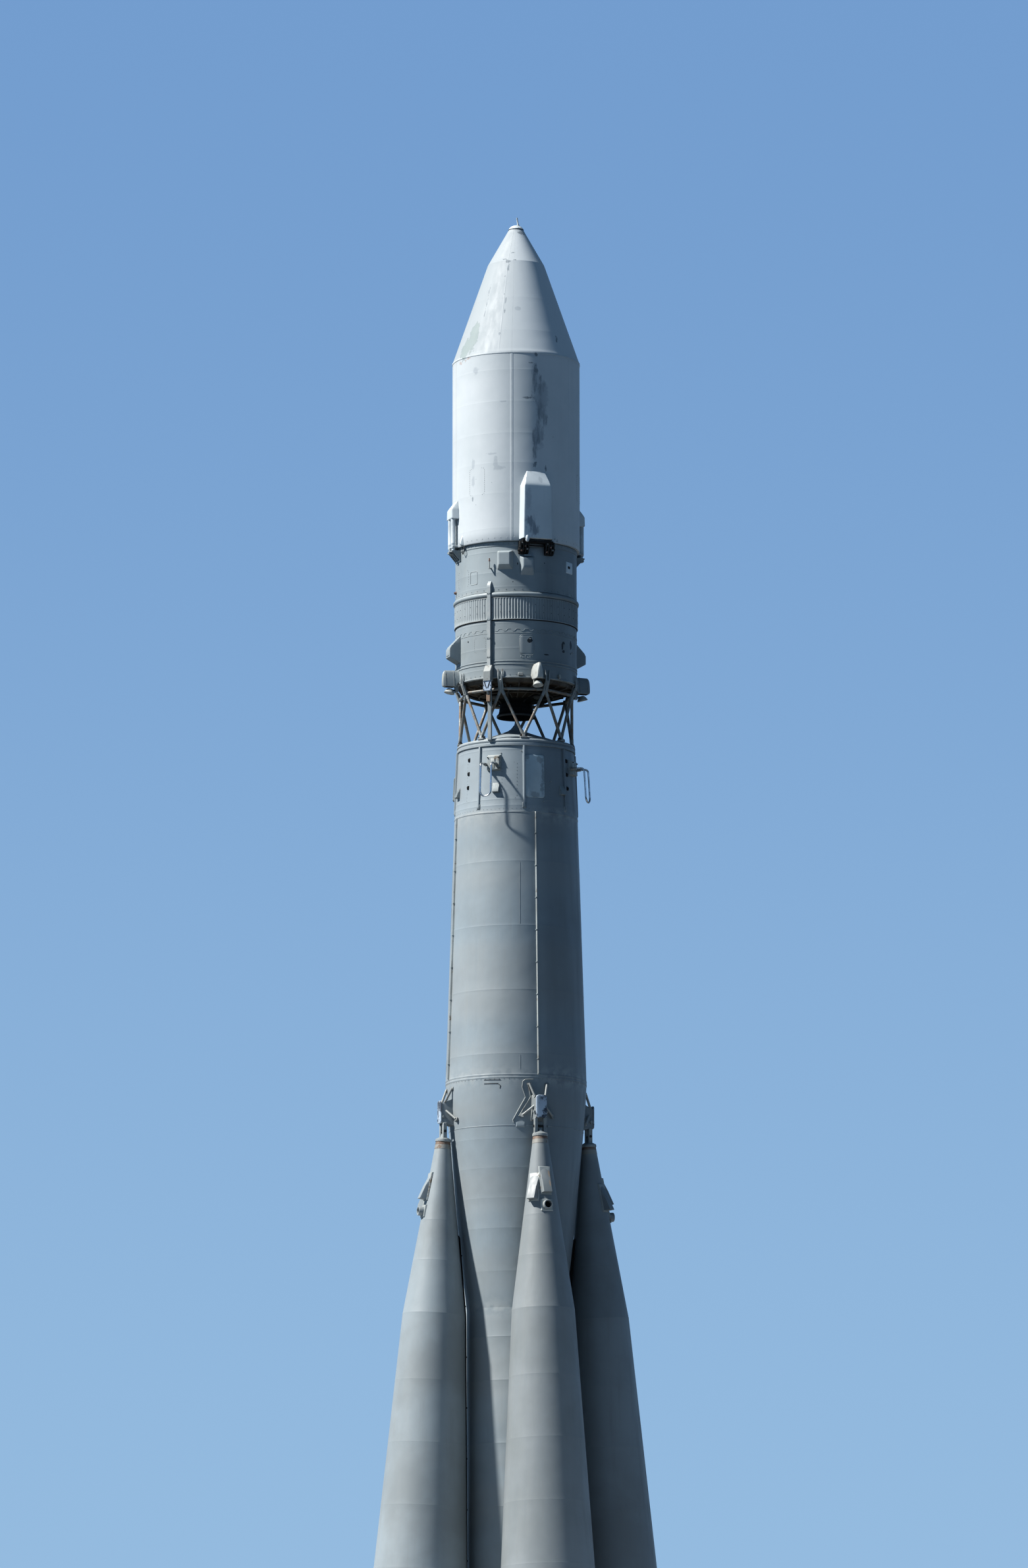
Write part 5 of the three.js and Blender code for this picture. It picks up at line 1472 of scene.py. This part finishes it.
bay_trim = [
    facing(hatch, 0.0),
    dotted_frame(0.0, 26.092, 0.228, 0.47, 0.03, core_radius, 0.07, 0.008, 0.006, 1),
    dotted_frame(-24.5, 26.00, 0.16, 0.38, 0.03, core_radius, 0.075, 0.007, 0.004, 3),
    facing(sheet_box(core_radius, (25.7, 26.29), 0.075, 0.062, (0.02, 0.05, 0.08), finish=1), -104.0),
    dotted_frame(-63.0, 26.05, 0.2, 0.46, 0.04, core_radius, 0.07, 0.007, 0.005, 1),
    dotted_frame(22.5, 26.05, 0.16, 0.46, 0.04, core_radius, 0.07, 0.007, 0.005, 1),
    bead(frame_path(112.0, 26.05, 0.22, 0.46, 0.04, core_radius), 0.006, 1),
    studs(np.arange(0, 360, 5), 26.772, 1.246, 0.008, 0.006, 6, 0),
    studs(np.arange(2, 360, 4), 25.395, core_radius, 0.008, 0.005, 6, 1),
    studs(
        [-13.0, -33.0, -47.0, 8.5, 17.0], [26.62, 26.58, 25.7, 25.56, 26.0], core_radius, 0.016, 0.014, 10, 2
    )
]
piece(
    "core_instrument_bay_shell",
    [
        bay_shell, again(rib, feet_turns), again(rib_shoe, feet_turns),
        again(wedge, [-37.2, -89.2, 30.8, 130.0]), *latches, *bay_trim
    ],
    [bay_paint, grey_fitting, light_fitting, lock_steel, panel_paint], "core_instrument_bay"
)

# %% [markdown]
# ### Vent hoops
# Two polished pipes leave a box, bend down and meet in a round bottom. The path is made of straight legs, two
# quarter bends and a deep curve below; a tube is then swept along it.

# %% Vent hoops
HOOP_OUT, HOOP_HALF, HOOP_HEIGHT, HOOP_DROP, HOOP_CORNER, HOOP_TUBE = 1.6, 0.118, 26.34, 0.6, 0.09, 0.019
HOOP_SHIFT = 0.05


def bezier(points, steps):
    """A Bezier curve of two or three legs: blends of the points by powers of t and 1 - t."""
    t = np.linspace(0, 1, steps)[:, None]
    p = [np.array(point, float) for point in points]
    if len(p) == 3:
        return (1 - t) ** 2 * p[0] + 2 * t * (1 - t) * p[1] + t**2 * p[2]
    return (1 - t) ** 3 * p[0] + 3 * t * (1 - t) ** 2 * p[1] + 3 * t**2 * (1 - t) * p[2] + t**3 * p[3]


low = HOOP_HEIGHT - HOOP_DROP
start_leg = np.array([(x, HOOP_HALF, HOOP_HEIGHT) for x in (1.34, 1.4, 1.45, HOOP_OUT - HOOP_CORNER - 0.01)])
bend = bezier([
    (HOOP_OUT - HOOP_CORNER, HOOP_HALF, HOOP_HEIGHT),
    (HOOP_OUT, HOOP_HALF, HOOP_HEIGHT),
    (HOOP_OUT + 0.004, HOOP_HALF, HOOP_HEIGHT - HOOP_CORNER)
], 9)
down = np.linspace(
    (HOOP_OUT + 0.006, HOOP_HALF, HOOP_HEIGHT - HOOP_CORNER - 0.03),
    (HOOP_OUT + 0.037, HOOP_HALF, low + 0.02), 6
)
belly = bezier([
    (HOOP_OUT + 0.038, HOOP_HALF, low),
    (HOOP_OUT + 0.045, HOOP_HALF, low - HOOP_HALF * 1.35),
    (HOOP_OUT + 0.045, -HOOP_HALF, low - HOOP_HALF * 1.35),
    (HOOP_OUT + 0.038, -HOOP_HALF, low)
], 17)
one_side = np.concatenate([start_leg, bend, down])
hoop_path = np.concatenate([one_side, belly, (one_side * [1, -1, 1])[::-1]])
hoop_tube = swept(hoop_path - [0, HOOP_SHIFT, 0], HOOP_TUBE, 18, False, (1, 0.001, 0.35))
hoop_box = together(
    sheet_box(core_radius, (26.212, 26.548), 0.153, 0.085, (0.02, 0.016, 0.035), soft=0.005, finish=1),
    sheet_box(1.328, (26.24, 26.46), 0.05, 0.014, 0.006, finish=1),
    rods(
        [(1.3, y - HOOP_SHIFT, HOOP_HEIGHT) for y in (HOOP_HALF, -HOOP_HALF)],
        [(1.43, y - HOOP_SHIFT, HOOP_HEIGHT) for y in (HOOP_HALF, -HOOP_HALF)], 0.036, 20, 2, 0.028
    ),
    rods(
        [(1.3, HOOP_HALF, 26.48), (1.3, -HOOP_HALF, 26.48)],
        [(1.345, HOOP_HALF, 26.48), (1.345, -HOOP_HALF, 26.48)], 0.012, 8, 3
    )
)
for name, turn in HOOP_TURNS.items():
    piece(
        f"vent_hoop_{name}_pipe", [facing(together(hoop_tube, hoop_box), turn)],
        [bright_tube, light_fitting, grey_fitting, lock_steel], f"vent_hoop_{name}"
    )

# %% [markdown]
# ## Core tanks
# The tanks are barrels of rolled sheet welded end to end, so each weld is a thin ring. A narrow conduit runs
# up above every booster and is strapped down at intervals.

# %% Core tanks
def tank_skin(low, high, welds, skin, sides=BARREL_SIDES, gap=0.3, tall=0.003):
    """A closed tank between two heights: the skin's radius at each row plus the bump of its ring welds."""
    rows = rows_for(low, high, gap, welds, 0.012)
    radius = skin(rows) + weld_bumps(rows, welds, tall, 0.012)
    return turned_body([(0, low), *zip(radius, rows), (0, high)], sides)


def ring_strip(height, skin, tall=0.006, half=0.022, sides=BARREL_SIDES, finish=0):
    """A flat strap round a tank where two sections are bolted together."""
    r_low, r_high = skin(height - half), skin(height + half)
    return turned_body([
        (r_low - 0.03, height - half),
        (r_low + tall - 0.002, height - half),
        (r_low + tall, height - half + 0.004),
        (r_high + tall, height + half - 0.004),
        (r_high + tall - 0.002, height + half),
        (r_high - 0.03, height + half)
    ], sides, None, finish)


upper_welds = (20.23, 21.58, 22.93, 24.29)
conduit = together(
    sheet_box(
        core_radius, (WAIST + 0.02, BAY_BASE - 0.003), 0.017, 0.038, (0.011, 0.03, 0.03), soft=0.007, finish=2
    ),
    *[
        sheet_box(core_radius, (z, z + 0.03), 0.028, 0.04, (0.008, 0.006, 0.006), finish=1)
        for z in np.arange(20.1, 25.2, 0.68)
    ]
)
seams = [
    skin_line([t, t], ends, core_radius, 0.003, finish=0) for t in (-14.8, 75.2, 165.2, 255.2)
    for ends in ([19.9, 20.2], [22.96, 24.26])
]
piece("core_oxidizer_tank_skin", [
    tank_skin(WAIST + SEAT, BAY_BASE, upper_welds, core_radius, tall=0.0017),
    ring_strip(WAIST + 0.03, core_radius, 0.004, 0.018),
    ring_strip(BAY_BASE - 0.025, core_radius, 0.006, 0.018),
    again(conduit, PLANES.values()),
    *seams
], [core_paint, grey_fitting, light_fitting], "core_oxidizer_tank")

waist_welds = (15.75, 16.63, 17.25, 17.87, 18.47)
waist_trim = [
    ring_strip(WAIST - 0.03, core_radius, 0.004, 0.018),
    ring_strip(18.73, core_radius, 0.004, 0.01),
    skin_line(
        [-4.3, -10.8, -12.6, -13.2, -10.5, -20.8, -20.2], [19.685, 19.68, 19.64, 19.52, 19.31, 18.84, 18.79],
        core_radius, 0.011, 8, 2
    ),
    skin_line([-9.4, -7.8, -6.3, -15.8], [19.59, 19.52, 19.32, 18.92], core_radius, 0.011, 8, 2),
    skin_line([-45.0, -30.7], [19.685, 19.675], core_radius, 0.005, 6, 3),
    skin_line([-45.0, -33.1, -30.9, -31.5], [19.605, 19.6, 19.555, 19.5], core_radius, 0.005, 6, 3),
    facing(sheet_box(core_radius, (18.69, 18.82), 0.1, 0.02, (0.02, 0.02, 0.09)), -14.4),
    studs(np.arange(0, 360, 4), WAIST - 0.06, core_radius, 0.01, 0.006, 6, 1)
]
piece(
    "core_waist_cone_skin",
    [tank_skin(CORE_NECK + SEAT, WAIST, waist_welds, core_radius, tall=0.001), *waist_trim],
    [core_paint, grey_fitting, light_fitting, black_and_painted_shade], "core_waist_cone"
)


def tail_radius(z):
    """The lower core is a plain cylinder, drawn in a little at its foot."""
    return np.interp(
        z, [CORE_TAIL_BASE, CORE_TAIL_BASE + 0.04, CORE_NECK],
        [CORE_TAIL_RADIUS - 0.04, CORE_TAIL_RADIUS, CORE_TAIL_RADIUS]
    )


lower_welds = (1.0, 2.3, 3.6, 4.9, 6.2, 7.5, 8.3, 9.6, 10.9, 12.2, 13.5, 14.4)
core_bracket = together(
    cut_plate([(0.99, 0.72), (1.14, 0.72), (1.14, 0.84), (1.08, 1.04), (0.99, 1.04)], 0.06, 0.006),
    bar((1.1, 1.1395), 0, 0.78, 0.058, 20, 1)
)
piece("core_fuel_tank_skin", [
    tank_skin(CORE_TAIL_BASE, CORE_NECK, lower_welds, tail_radius),
    ring_strip(2.3, tail_radius),
    ring_strip(8.3, tail_radius),
    again(core_bracket, CHAMBER_TURNS)
], [core_paint, grey_fitting], "core_fuel_tank_and_tail")

# %% [markdown]
# ## Engines
# Each main engine is four bells under one plate. A bell is a turned wall: down the inside from the throat,
# round the lip and up the outside, with the stiffening hoops that keep its thin wall round.

# %% Main engine bells
BELL_OFFSET, BELL_EXIT, BELL_THROAT = 0.415, 0.36, 0.165


def engine_bell(depth, z):
    """A bell hanging from a plate: inner wall, lip and hooped outer wall, with its mouth at height z."""
    down = np.linspace(0, 1, 13)
    wall = BELL_EXIT - 0.014 - (BELL_EXIT - 0.014 - BELL_THROAT) * (1 - down) ** 1.55
    inner = [(0, depth - 0.06), (BELL_THROAT * 0.6, depth - 0.06)]
    inner += list(zip(wall, (depth - 0.07) * (1 - down)))
    up = np.linspace(0, 1, 27)
    outer_radius = BELL_EXIT - (BELL_EXIT - BELL_THROAT - 0.045) * up**1.35
    hoop = 0.008 * (np.arange(27) % 5 == 2) * (up < 0.85)
    outer = list(zip(outer_radius + hoop, depth * up))
    profile = inner + [(BELL_EXIT - 0.006, 0.0)] + outer + [(0, depth + 0.008)]
    return changed(turned_body(profile, 72), move(0, 0, z))


def main_engine(depth, z):
    """Four bells in a square, a pump box between them, and the pipes that feed each bell."""
    corners = [(a * BELL_OFFSET, b * BELL_OFFSET) for a in (-1, 1) for b in (-1, 1)]
    bells = [changed(engine_bell(depth, z), move(x, y, 0)) for x, y in corners]
    top = z + depth
    pump = changed(turned_body([
        (0, -0.22), (0.07, -0.215), (0.095, -0.19), (0.1, -0.05), (0.12, -0.02), (0.12, 0.0), (0, 0.0)
    ], 32, finish=1), move(0, 0, top))
    pipes = [
        swept(bezier([
            (0.05 * np.sign(x), 0.05 * np.sign(y), top - 0.16),
            (x * 0.3, y * 0.3, top - 0.24),
            (x * 0.62, y * 0.62, top - 0.06)
        ], 9), 0.026, 12, finish=1)
        for x, y in corners
    ]
    ring = swept(around(0.8, ring_turns, top - 0.025), 0.022, 10, True, finish=2)
    return together(*bells, pump, *pipes, ring)


core_depth = CORE_TAIL_BASE - 0.06 - 0.09
core_plate = turned_body([
    (0, 0.56), (0.94, 0.56), (0.96, 0.57), (0.96, CORE_TAIL_BASE - SEAT), (0, CORE_TAIL_BASE - SEAT)
], 96, finish=2)
piece(
    "core_main_engine_bells", [main_engine(core_depth, 0.09), core_plate],
    [bell_metal, lock_steel, underside_metal], "core_main_engine"
)

# %% [markdown]
# ### Steering chambers
# Small engines that swing about a radial pin. The head is a drum with a flange, the bell below it has two
# stiffening rings. They are made once, facing +X, and set in place by a matrix.

# %% Steering chambers
def steering_chamber(boss, hinge):
    """A radial pin, a round head and a small open bell under it."""
    reach = 0.15
    profile = [
        (0, -0.16), (0.03, -0.16), (0.044, -0.2), (0.07, -0.27), (0.094, -0.34), (0.108, -0.4),
        (0.114, -0.402), (0.122, -0.4), (0.12, -0.385), (0.11, -0.375), (0.096, -0.315), (0.102, -0.312),
        (0.102, -0.3), (0.091, -0.295), (0.074, -0.22), (0.08, -0.216), (0.08, -0.204), (0.068, -0.2),
        (0.056, -0.155), (0.056, -0.12), (0.075, -0.1), (0.075, 0.05), (0.07, 0.056), (0.07, 0.066),
        (0.05, 0.078), (0, 0.08)
    ]
    body = changed(turned_body(profile, 48), move(boss + reach, 0, hinge))
    pin = bar((boss + SEAT, boss + reach), 0, hinge, 0.034, 20, 1)
    collar = bar((boss + 0.052, boss + 0.074), 0, hinge, 0.044, 20, 1)
    feed = swept(bezier([
        (boss + 0.05, 0.02, hinge + 0.045),
        (boss + 0.11, 0.05, hinge + 0.1),
        (boss + reach - 0.02, 0.03, hinge + 0.06)
    ], 9), 0.012, 8, finish=1)
    bolt_turns = np.radians(np.arange(0, 360, 45))
    low, high = [around(0.06, bolt_turns, z) + [boss + reach, 0, hinge] for z in (0.062, 0.074)]
    bolts = rods(low, high, 0.008, 6, 1)
    return together(body, pin, collar, feed, bolts)


CORE_BOSS, CORE_HINGE = 1.14, 0.78
for number, turn in enumerate(CHAMBER_TURNS, 1):
    piece(
        f"core_steering_chamber_{number}_bell", [facing(steering_chamber(CORE_BOSS, CORE_HINGE), turn)],
        [bell_metal, lock_steel], f"core_steering_chamber_{number}", f"core_chamber_{number}"
    )

# %% [markdown]
# ## Strap-on boosters
# Four long cones lean against the core. Each is made about its own axis, from nose to tail, and then leaned
# in by three degrees and turned to its plane by one matrix, so one recipe serves all four.

# %% Booster tanks
nose_welds = (9.6, 10.9, 12.2, 13.5, BOOSTER_SHOULDER, 16.0, 16.85)
fuel_welds = (2.9, BOOSTER_STRAIGHT_TOP, 4.4, 5.7, 7.0)


def nose_blister(base):
    """An instrument cover on the nose: a wedge with its step at the bottom."""
    return together(
        sheet_box(booster_radius, (base, base + 0.54), 0.105, 0.148, (0.014, 0.012, 0.47), soft=0.006),
        sheet_box(booster_radius, (base - 0.03, base + 0.57), 0.125, 0.008, 0.008, finish=1)
    )


PORT_HEIGHT = 17.03
port_profile = [
    (0, 0.25), (0.098, 0.25), (0.098, 0.455), (0.092, 0.468), (0.074, 0.468), (0.068, 0.455), (0.064, 0.37),
    (0, 0.37)
]
port = together(
    changed(turned_body(port_profile, 40), move(0, 0, PORT_HEIGHT) @ turn_y(90)),
    bar((0.371, 0.376), 0, PORT_HEIGHT, 0.063, 32, 2),
    sheet_box(booster_radius, (16.9, 17.16), 0.13, 0.012, 0.01, finish=1)
)
# The conduit on the side facing the core is black: painted shade in the gap between booster and core.
inner_conduit_in_painted_shade = together(
    sheet_box(booster_radius, (BOOSTER_JOINT + 0.08, 16.6), 0.05, 0.048, (0.01, 0.05, 0.05), finish=2),
    *[
        sheet_box(booster_radius, (z, z + 0.04), 0.07, 0.052, 0.006, finish=2)
        for z in np.arange(8.8, 16.2, 1.05)
    ]
)
oxidizer_tank = together(
    tank_skin(
        BOOSTER_JOINT + SEAT, BOOSTER_NOSE_TOP, nose_welds, booster_radius, BOOSTER_SIDES, 0.35, 0.0013
    ),
    changed(inner_conduit_in_painted_shade, turn_z(180)),
    ring_strip(BOOSTER_JOINT + 0.03, booster_radius, 0.005, 0.018, BOOSTER_SIDES),
    changed(nose_blister(17.15), turn_z(-47)), nose_blister(17.28), port
)
fuel_tank = together(
    tank_skin(
        BOOSTER_TAIL_TOP + SEAT, BOOSTER_JOINT, fuel_welds, booster_radius, BOOSTER_SIDES, 0.35, 0.0013
    ),
    ring_strip(BOOSTER_JOINT - 0.03, booster_radius, 0.005, 0.018, BOOSTER_SIDES)
)

# %% [markdown]
# ### Tail section, fin root and engine
# The tail is a stiffened skirt. Stringers run up it in pairs, a fin root stands on its outer side, two
# brackets hang below for the steering chambers, and two ties hold its inner side to the core.

# %% Tail section
BOSS_OUT, RUDDER_HINGE, RUDDER_ROOT, RUDDER_TIP = 1.56, 1.13, 1.58, 2.6
BOOSTER_BOSS, BOOSTER_HINGE = 1.06, 0.4


def skirt_radius_at(z):
    """The tail skirt is a cylinder, drawn in a little at its lower edge."""
    heights = [BOOSTER_TAIL_BASE, BOOSTER_TAIL_BASE + 0.06, BOOSTER_TAIL_TOP]
    return np.interp(z, heights, [BOOSTER_RADIUS - 0.03, BOOSTER_RADIUS, BOOSTER_RADIUS])


stringer = sheet_box(skirt_radius_at, (0.7, 2.22), 0.018, 0.014, (0.006, 0.02, 0.02))
fin_root_outline = [
    (1.28, 0.765), (1.55, 0.8), (1.5598, 0.81), (1.5598, 1.34), (1.555, 1.352), (1.4, 1.945), (1.28, 2.13)
]
fin_root = cut_plate(fin_root_outline, 0.065, 0.014)
fin_boss = bar((1.5, 1.5597), 0, RUDDER_HINGE, 0.062, 24, 1)
chamber_bracket = together(
    cut_plate([(0.995, 0.35), (1.06, 0.35), (1.06, 0.6), (0.995, 0.6)], 0.055, 0.006),
    bar((1.03, 1.0597), 0, BOOSTER_HINGE, 0.05, 20, 1)
)
tail_shell = together(
    tank_skin(BOOSTER_TAIL_BASE, BOOSTER_TAIL_TOP, (0.95, 1.6), skirt_radius_at, BOOSTER_SIDES, 0.2),
    ring_strip(BOOSTER_TAIL_TOP - 0.03, skirt_radius_at, 0.006, 0.02, BOOSTER_SIDES),
    ring_strip(0.66, skirt_radius_at, 0.008, 0.02, BOOSTER_SIDES),
    *[changed(stringer, turn_z(t)) for t in np.arange(7.5, 360, 15)], fin_root, fin_boss,
    changed(chamber_bracket, turn_z(-52)), changed(chamber_bracket, turn_z(52))
)
TIE_SIDES = (-0.33, 0.33)
ties = [block((1.027, 1.485), (y - 0.045, y + 0.045), (1.84, 1.96), 0.008, 1) for y in TIE_SIDES]
tie_pins = [bar(1.1, (y - 0.06, y + 0.06), 1.9, 0.03, 16, 1) for y in TIE_SIDES]

# %% [markdown]
# ### Air rudder
# The rudder is a thin swept fin with a lens section. Its rings run outwards along the span: each ring goes up
# one side and down the other, and the thickness is half a sine over the chord, less at the tip.

# %% Rudder and nose fitting
def rudder_blade():
    """Lens-shaped sections from root to tip: half thickness = t sin(pi s) + edge, s along the chord."""
    span = np.array([0, 0.01, 0.2, 0.4, 0.6, 0.8, 0.97, 0.995, 1.0])
    inset = np.array([0.012, 0.0, 0, 0, 0, 0, 0, 0.006, 0.02])
    x = RUDDER_ROOT + span * (RUDDER_TIP - RUDDER_ROOT)
    low, high = 0.83 + inset, 1.48 - span * 0.36 - inset
    s = np.array([0, 0.02, 0.08, 0.2, 0.4, 0.6, 0.8, 0.92, 0.98, 1.0])
    z = low[:, None] + s * (high - low)[:, None]
    y = (0.037 - 0.014 * span)[:, None] * np.sin(np.pi * s) + 0.005
    y = y * np.where(inset > 0.01, 0.6, 1.0)[:, None]
    right = np.stack([np.broadcast_to(x[:, None], z.shape), y, z], -1)
    left = (right * [1, -1, 1])[:, ::-1]
    return lofted(list(np.concatenate([right, left], 1)))


rudder = together(
    rudder_blade(), bar((BOSS_OUT + SEAT, RUDDER_ROOT + 0.12), 0, RUDDER_HINGE, 0.04, 20, 1),
    cut_plate([(1.582, 1.09), (1.86, 1.105), (1.86, 1.155), (1.582, 1.17)], 0.045, 0.006, 1)
)

thrust_box = together(
    sheet_box(core_radius, (18.82, 19.37), 0.15, 0.25, (0.045, 0.07, 0.1), lean=-0.085, soft=0.006),
    sheet_box(1.686, (18.865, 19.345), 0.118, 0.01, 0.01, finish=4, corner=0.06),
    bar(1.62, (-0.155, 0.155), 19.0, 0.03, 20, 1)
)
fork_arms = [block((1.555, 1.645), (y - 0.036, y + 0.036), (18.53, 18.88), 0.012, 0) for y in (-0.098, 0.098)]
fork_arms.append(block((1.53, 1.665), (-0.145, 0.145), (18.512, 18.56), 0.01, 0))
fork_bolt = bar(1.6, (-0.15, 0.15), 18.7, 0.026, 16, 2)
brace_tubes = rods(
    [(1.6, -0.11, 19.3), (1.6, 0.11, 19.3), (1.57, -0.11, 19.13), (1.57, 0.11, 19.13)],
    [(1.465, -0.195, 19.6), (1.465, 0.195, 19.6), (1.43, -0.325, 18.94), (1.43, 0.325, 18.94)], 0.026, 16, 1
)
brace_pads = rods(
    [(1.45, -0.195, 19.59), (1.45, 0.195, 19.59), (1.405, -0.325, 18.93), (1.405, 0.325, 18.93)],
    [(1.47, -0.197, 19.6), (1.47, 0.197, 19.6), (1.432, -0.332, 18.94), (1.432, 0.332, 18.94)], 0.045, 16, 1
)
collar_profile = np.array([
    (0, SEAT), (0.158, SEAT), (0.165, 0.008), (0.165, 0.05), (0.15, 0.062), (0.12, 0.078), (0.06, 0.11),
    (0.045, 0.17), (0, 0.18)
]) + [0, BOOSTER_NOSE_TOP]


def tip_band(low, high, finish):
    """A thin band round the tip of the nose cone, from one distance below its top to another."""
    z = BOOSTER_NOSE_TOP - np.array([low, low, high, high])
    radius = booster_radius(z) + np.array([-0.03, 0.004, 0.004, -0.03])
    return turned_body(np.stack([radius, z], -1), 48, finish=finish)


collar = together(turned_body(collar_profile, 48), tip_band(0.15, 0.06, 5), tip_band(0.058, 0.0, 3))
booster_engine_out = BOOSTER_FOOT - BOOSTER_TAIL_BASE * math.sin(BOOSTER_LEAN)
engine_plate = turned_body([
    (0, 0.505), (0.9, 0.505), (0.92, 0.52), (0.92, BOOSTER_TAIL_BASE - SEAT), (0, BOOSTER_TAIL_BASE - SEAT)
], 96, finish=2)

# %% [markdown]
# ### Put the four boosters in place
# The front booster has a paint of its own. Each booster gets the same shapes with its own matrix, and
# the rudder and the two chambers ride on their own moving bodies.

# %% Four boosters
for name, plane in PLANES.items():
    upright = turn_z(FRONT + plane)
    stand = upright @ move(BOOSTER_FOOT, 0, 0) @ turn_y(-math.degrees(BOOSTER_LEAN))
    tank = [changed(oxidizer_tank, stand)]
    piece(
        f"booster_{name}_oxidizer_tank_skin", tank, [booster_side_paint[name], light_fitting, black_and_painted_shade],
        f"booster_{name}_oxidizer_tank"
    )
    piece(
        f"booster_{name}_fuel_tank_skin", [changed(fuel_tank, stand)],
        [booster_side_paint[name], grey_fitting], f"booster_{name}_fuel_tank"
    )
    piece(
        f"booster_{name}_tail_shell",
        [changed(tail_shell, stand), *[changed(part, upright) for part in ties + tie_pins]],
        [tank_tail_paint, grey_fitting], f"booster_{name}_tail"
    )
    bells = changed(main_engine(0.5, 0.0), upright @ move(booster_engine_out, 0, 0))
    piece(
        f"booster_{name}_engine_bells", [bells, changed(engine_plate, stand)],
        [bell_metal, lock_steel, underside_metal], f"booster_{name}_engine"
    )
    piece(
        f"booster_{name}_rudder_blade", [changed(rudder, stand)], [tank_tail_paint, grey_fitting],
        f"booster_{name}_rudder", f"{name}_rudder"
    )
    for number, side in ((1, -52), (2, 52)):
        chamber = changed(steering_chamber(BOOSTER_BOSS, BOOSTER_HINGE), stand @ turn_z(side))
        piece(
            f"booster_{name}_steering_chamber_{number}_bell", [chamber], [bell_metal, lock_steel],
            f"booster_{name}_steering_chamber_{number}", f"{name}_chamber_{number}"
        )
    fitting = [
        changed(part, upright) for part in (thrust_box, *fork_arms, fork_bolt, brace_tubes, brace_pads)
    ]
    piece(
        f"booster_{name}_nose_fitting_steel", [*fitting, changed(collar, stand)],
        [booster_side_paint[name], grey_fitting, lock_steel, rusty_collar, blotchy_paint, bare_tip],
        f"booster_{name}_nose_fitting"
    )

# %% [markdown]
# ## Floor and light
# A plain pale disc of floor lies under the rocket. The light is one large soft lamp, 73 degrees left of the
# camera and 47 degrees up, where the sun stood. The pale sky is brightest low down, behind the rocket, and
# dim above and below, so the side away from the lamp falls into cool shade.

# %% Floor
f = Finish("pale floor", 0.85)
cloudy = f.noise(0.2, 4.0, 0.6)
floor_paint = f.done(
    f.mix(f.step(cloudy, 0.3, 0.7), (0.56, 0.57, 0.58), (0.5, 0.51, 0.52)),
    f.step(cloudy, 0.3, 0.7, 0.8, 0.9), f.noise(3.0, 5.0), 0.02, 0.2
)
FLOOR_DROP, FLOOR_RADIUS = 0.001, 26.0
rings_out = np.linspace(0, FLOOR_RADIUS, 7)[:, None]
floor_grid = around(rings_out, circle(96)[None, :], -FLOOR_DROP)
floor_points, floor_faces, _ = merged(shape(floor_grid, grid_faces(7, 96, False, True)[:, ::-1]))
floor_mesh = bpy.data.meshes.new("floor")
floor_mesh.from_pydata(floor_points.tolist(), [], [
    list(dict.fromkeys(face)) for face in floor_faces.tolist()
])
floor_mesh.materials.append(floor_paint)
floor = bpy.data.objects.new("floor", floor_mesh)
bpy.context.scene.collection.objects.link(floor)
print("floor", 2 * FLOOR_RADIUS, "m across")

# %% Lamp
LAMP_TURN, LAMP_HEIGHT, LAMP_SOFTNESS = 73.0, 47.5, 3.0
lamp_data = bpy.data.lights.new("soft lamp", "SUN")
lamp_data.energy = 4.3
lamp_data.angle = math.radians(LAMP_SOFTNESS)
lamp_data.color = (1.0, 0.97, 0.93)
lamp = bpy.data.objects.new("soft lamp", lamp_data)
bpy.context.scene.collection.objects.link(lamp)
lamp.rotation_euler = (math.radians(90 - LAMP_HEIGHT), 0, math.radians(-CAMERA_TURN - LAMP_TURN))
print("lamp", round(lamp_data.energy, 2))

# %% Sky
HORIZON, LOW_SKY = (0.275, 0.405, 0.55), (0.174, 0.29, 0.47)
HIGH_SKY, BELOW = (0.062, 0.095, 0.135), (0.046, 0.06, 0.073)

sky = bpy.data.worlds.new("pale sky")
sky.use_nodes = True
f = Recipe(sky.node_tree, "Generated")
behind = f.mix(f.step(f.z, 0.0, 0.28), HORIZON, LOW_SKY)
upper_sky = f.mix(f.step(f.z, 0.29, 0.48), behind, HIGH_SKY)
f.feed(f.nodes["Background"].inputs["Color"], f.mix(f.step(f.z, -0.04, 0.0), BELOW, upper_sky))
bpy.context.scene.world = sky
bpy.context.scene.view_settings.view_transform = "Standard"
bpy.context.scene.view_settings.look = "High Contrast"
print("sky from", HORIZON, "to", HIGH_SKY)

# %% [markdown]
# ## Measure and finish
# The number of triangles that the pieces added is printed.

# %% Triangle count and the end
print("added triangles", added_triangles)
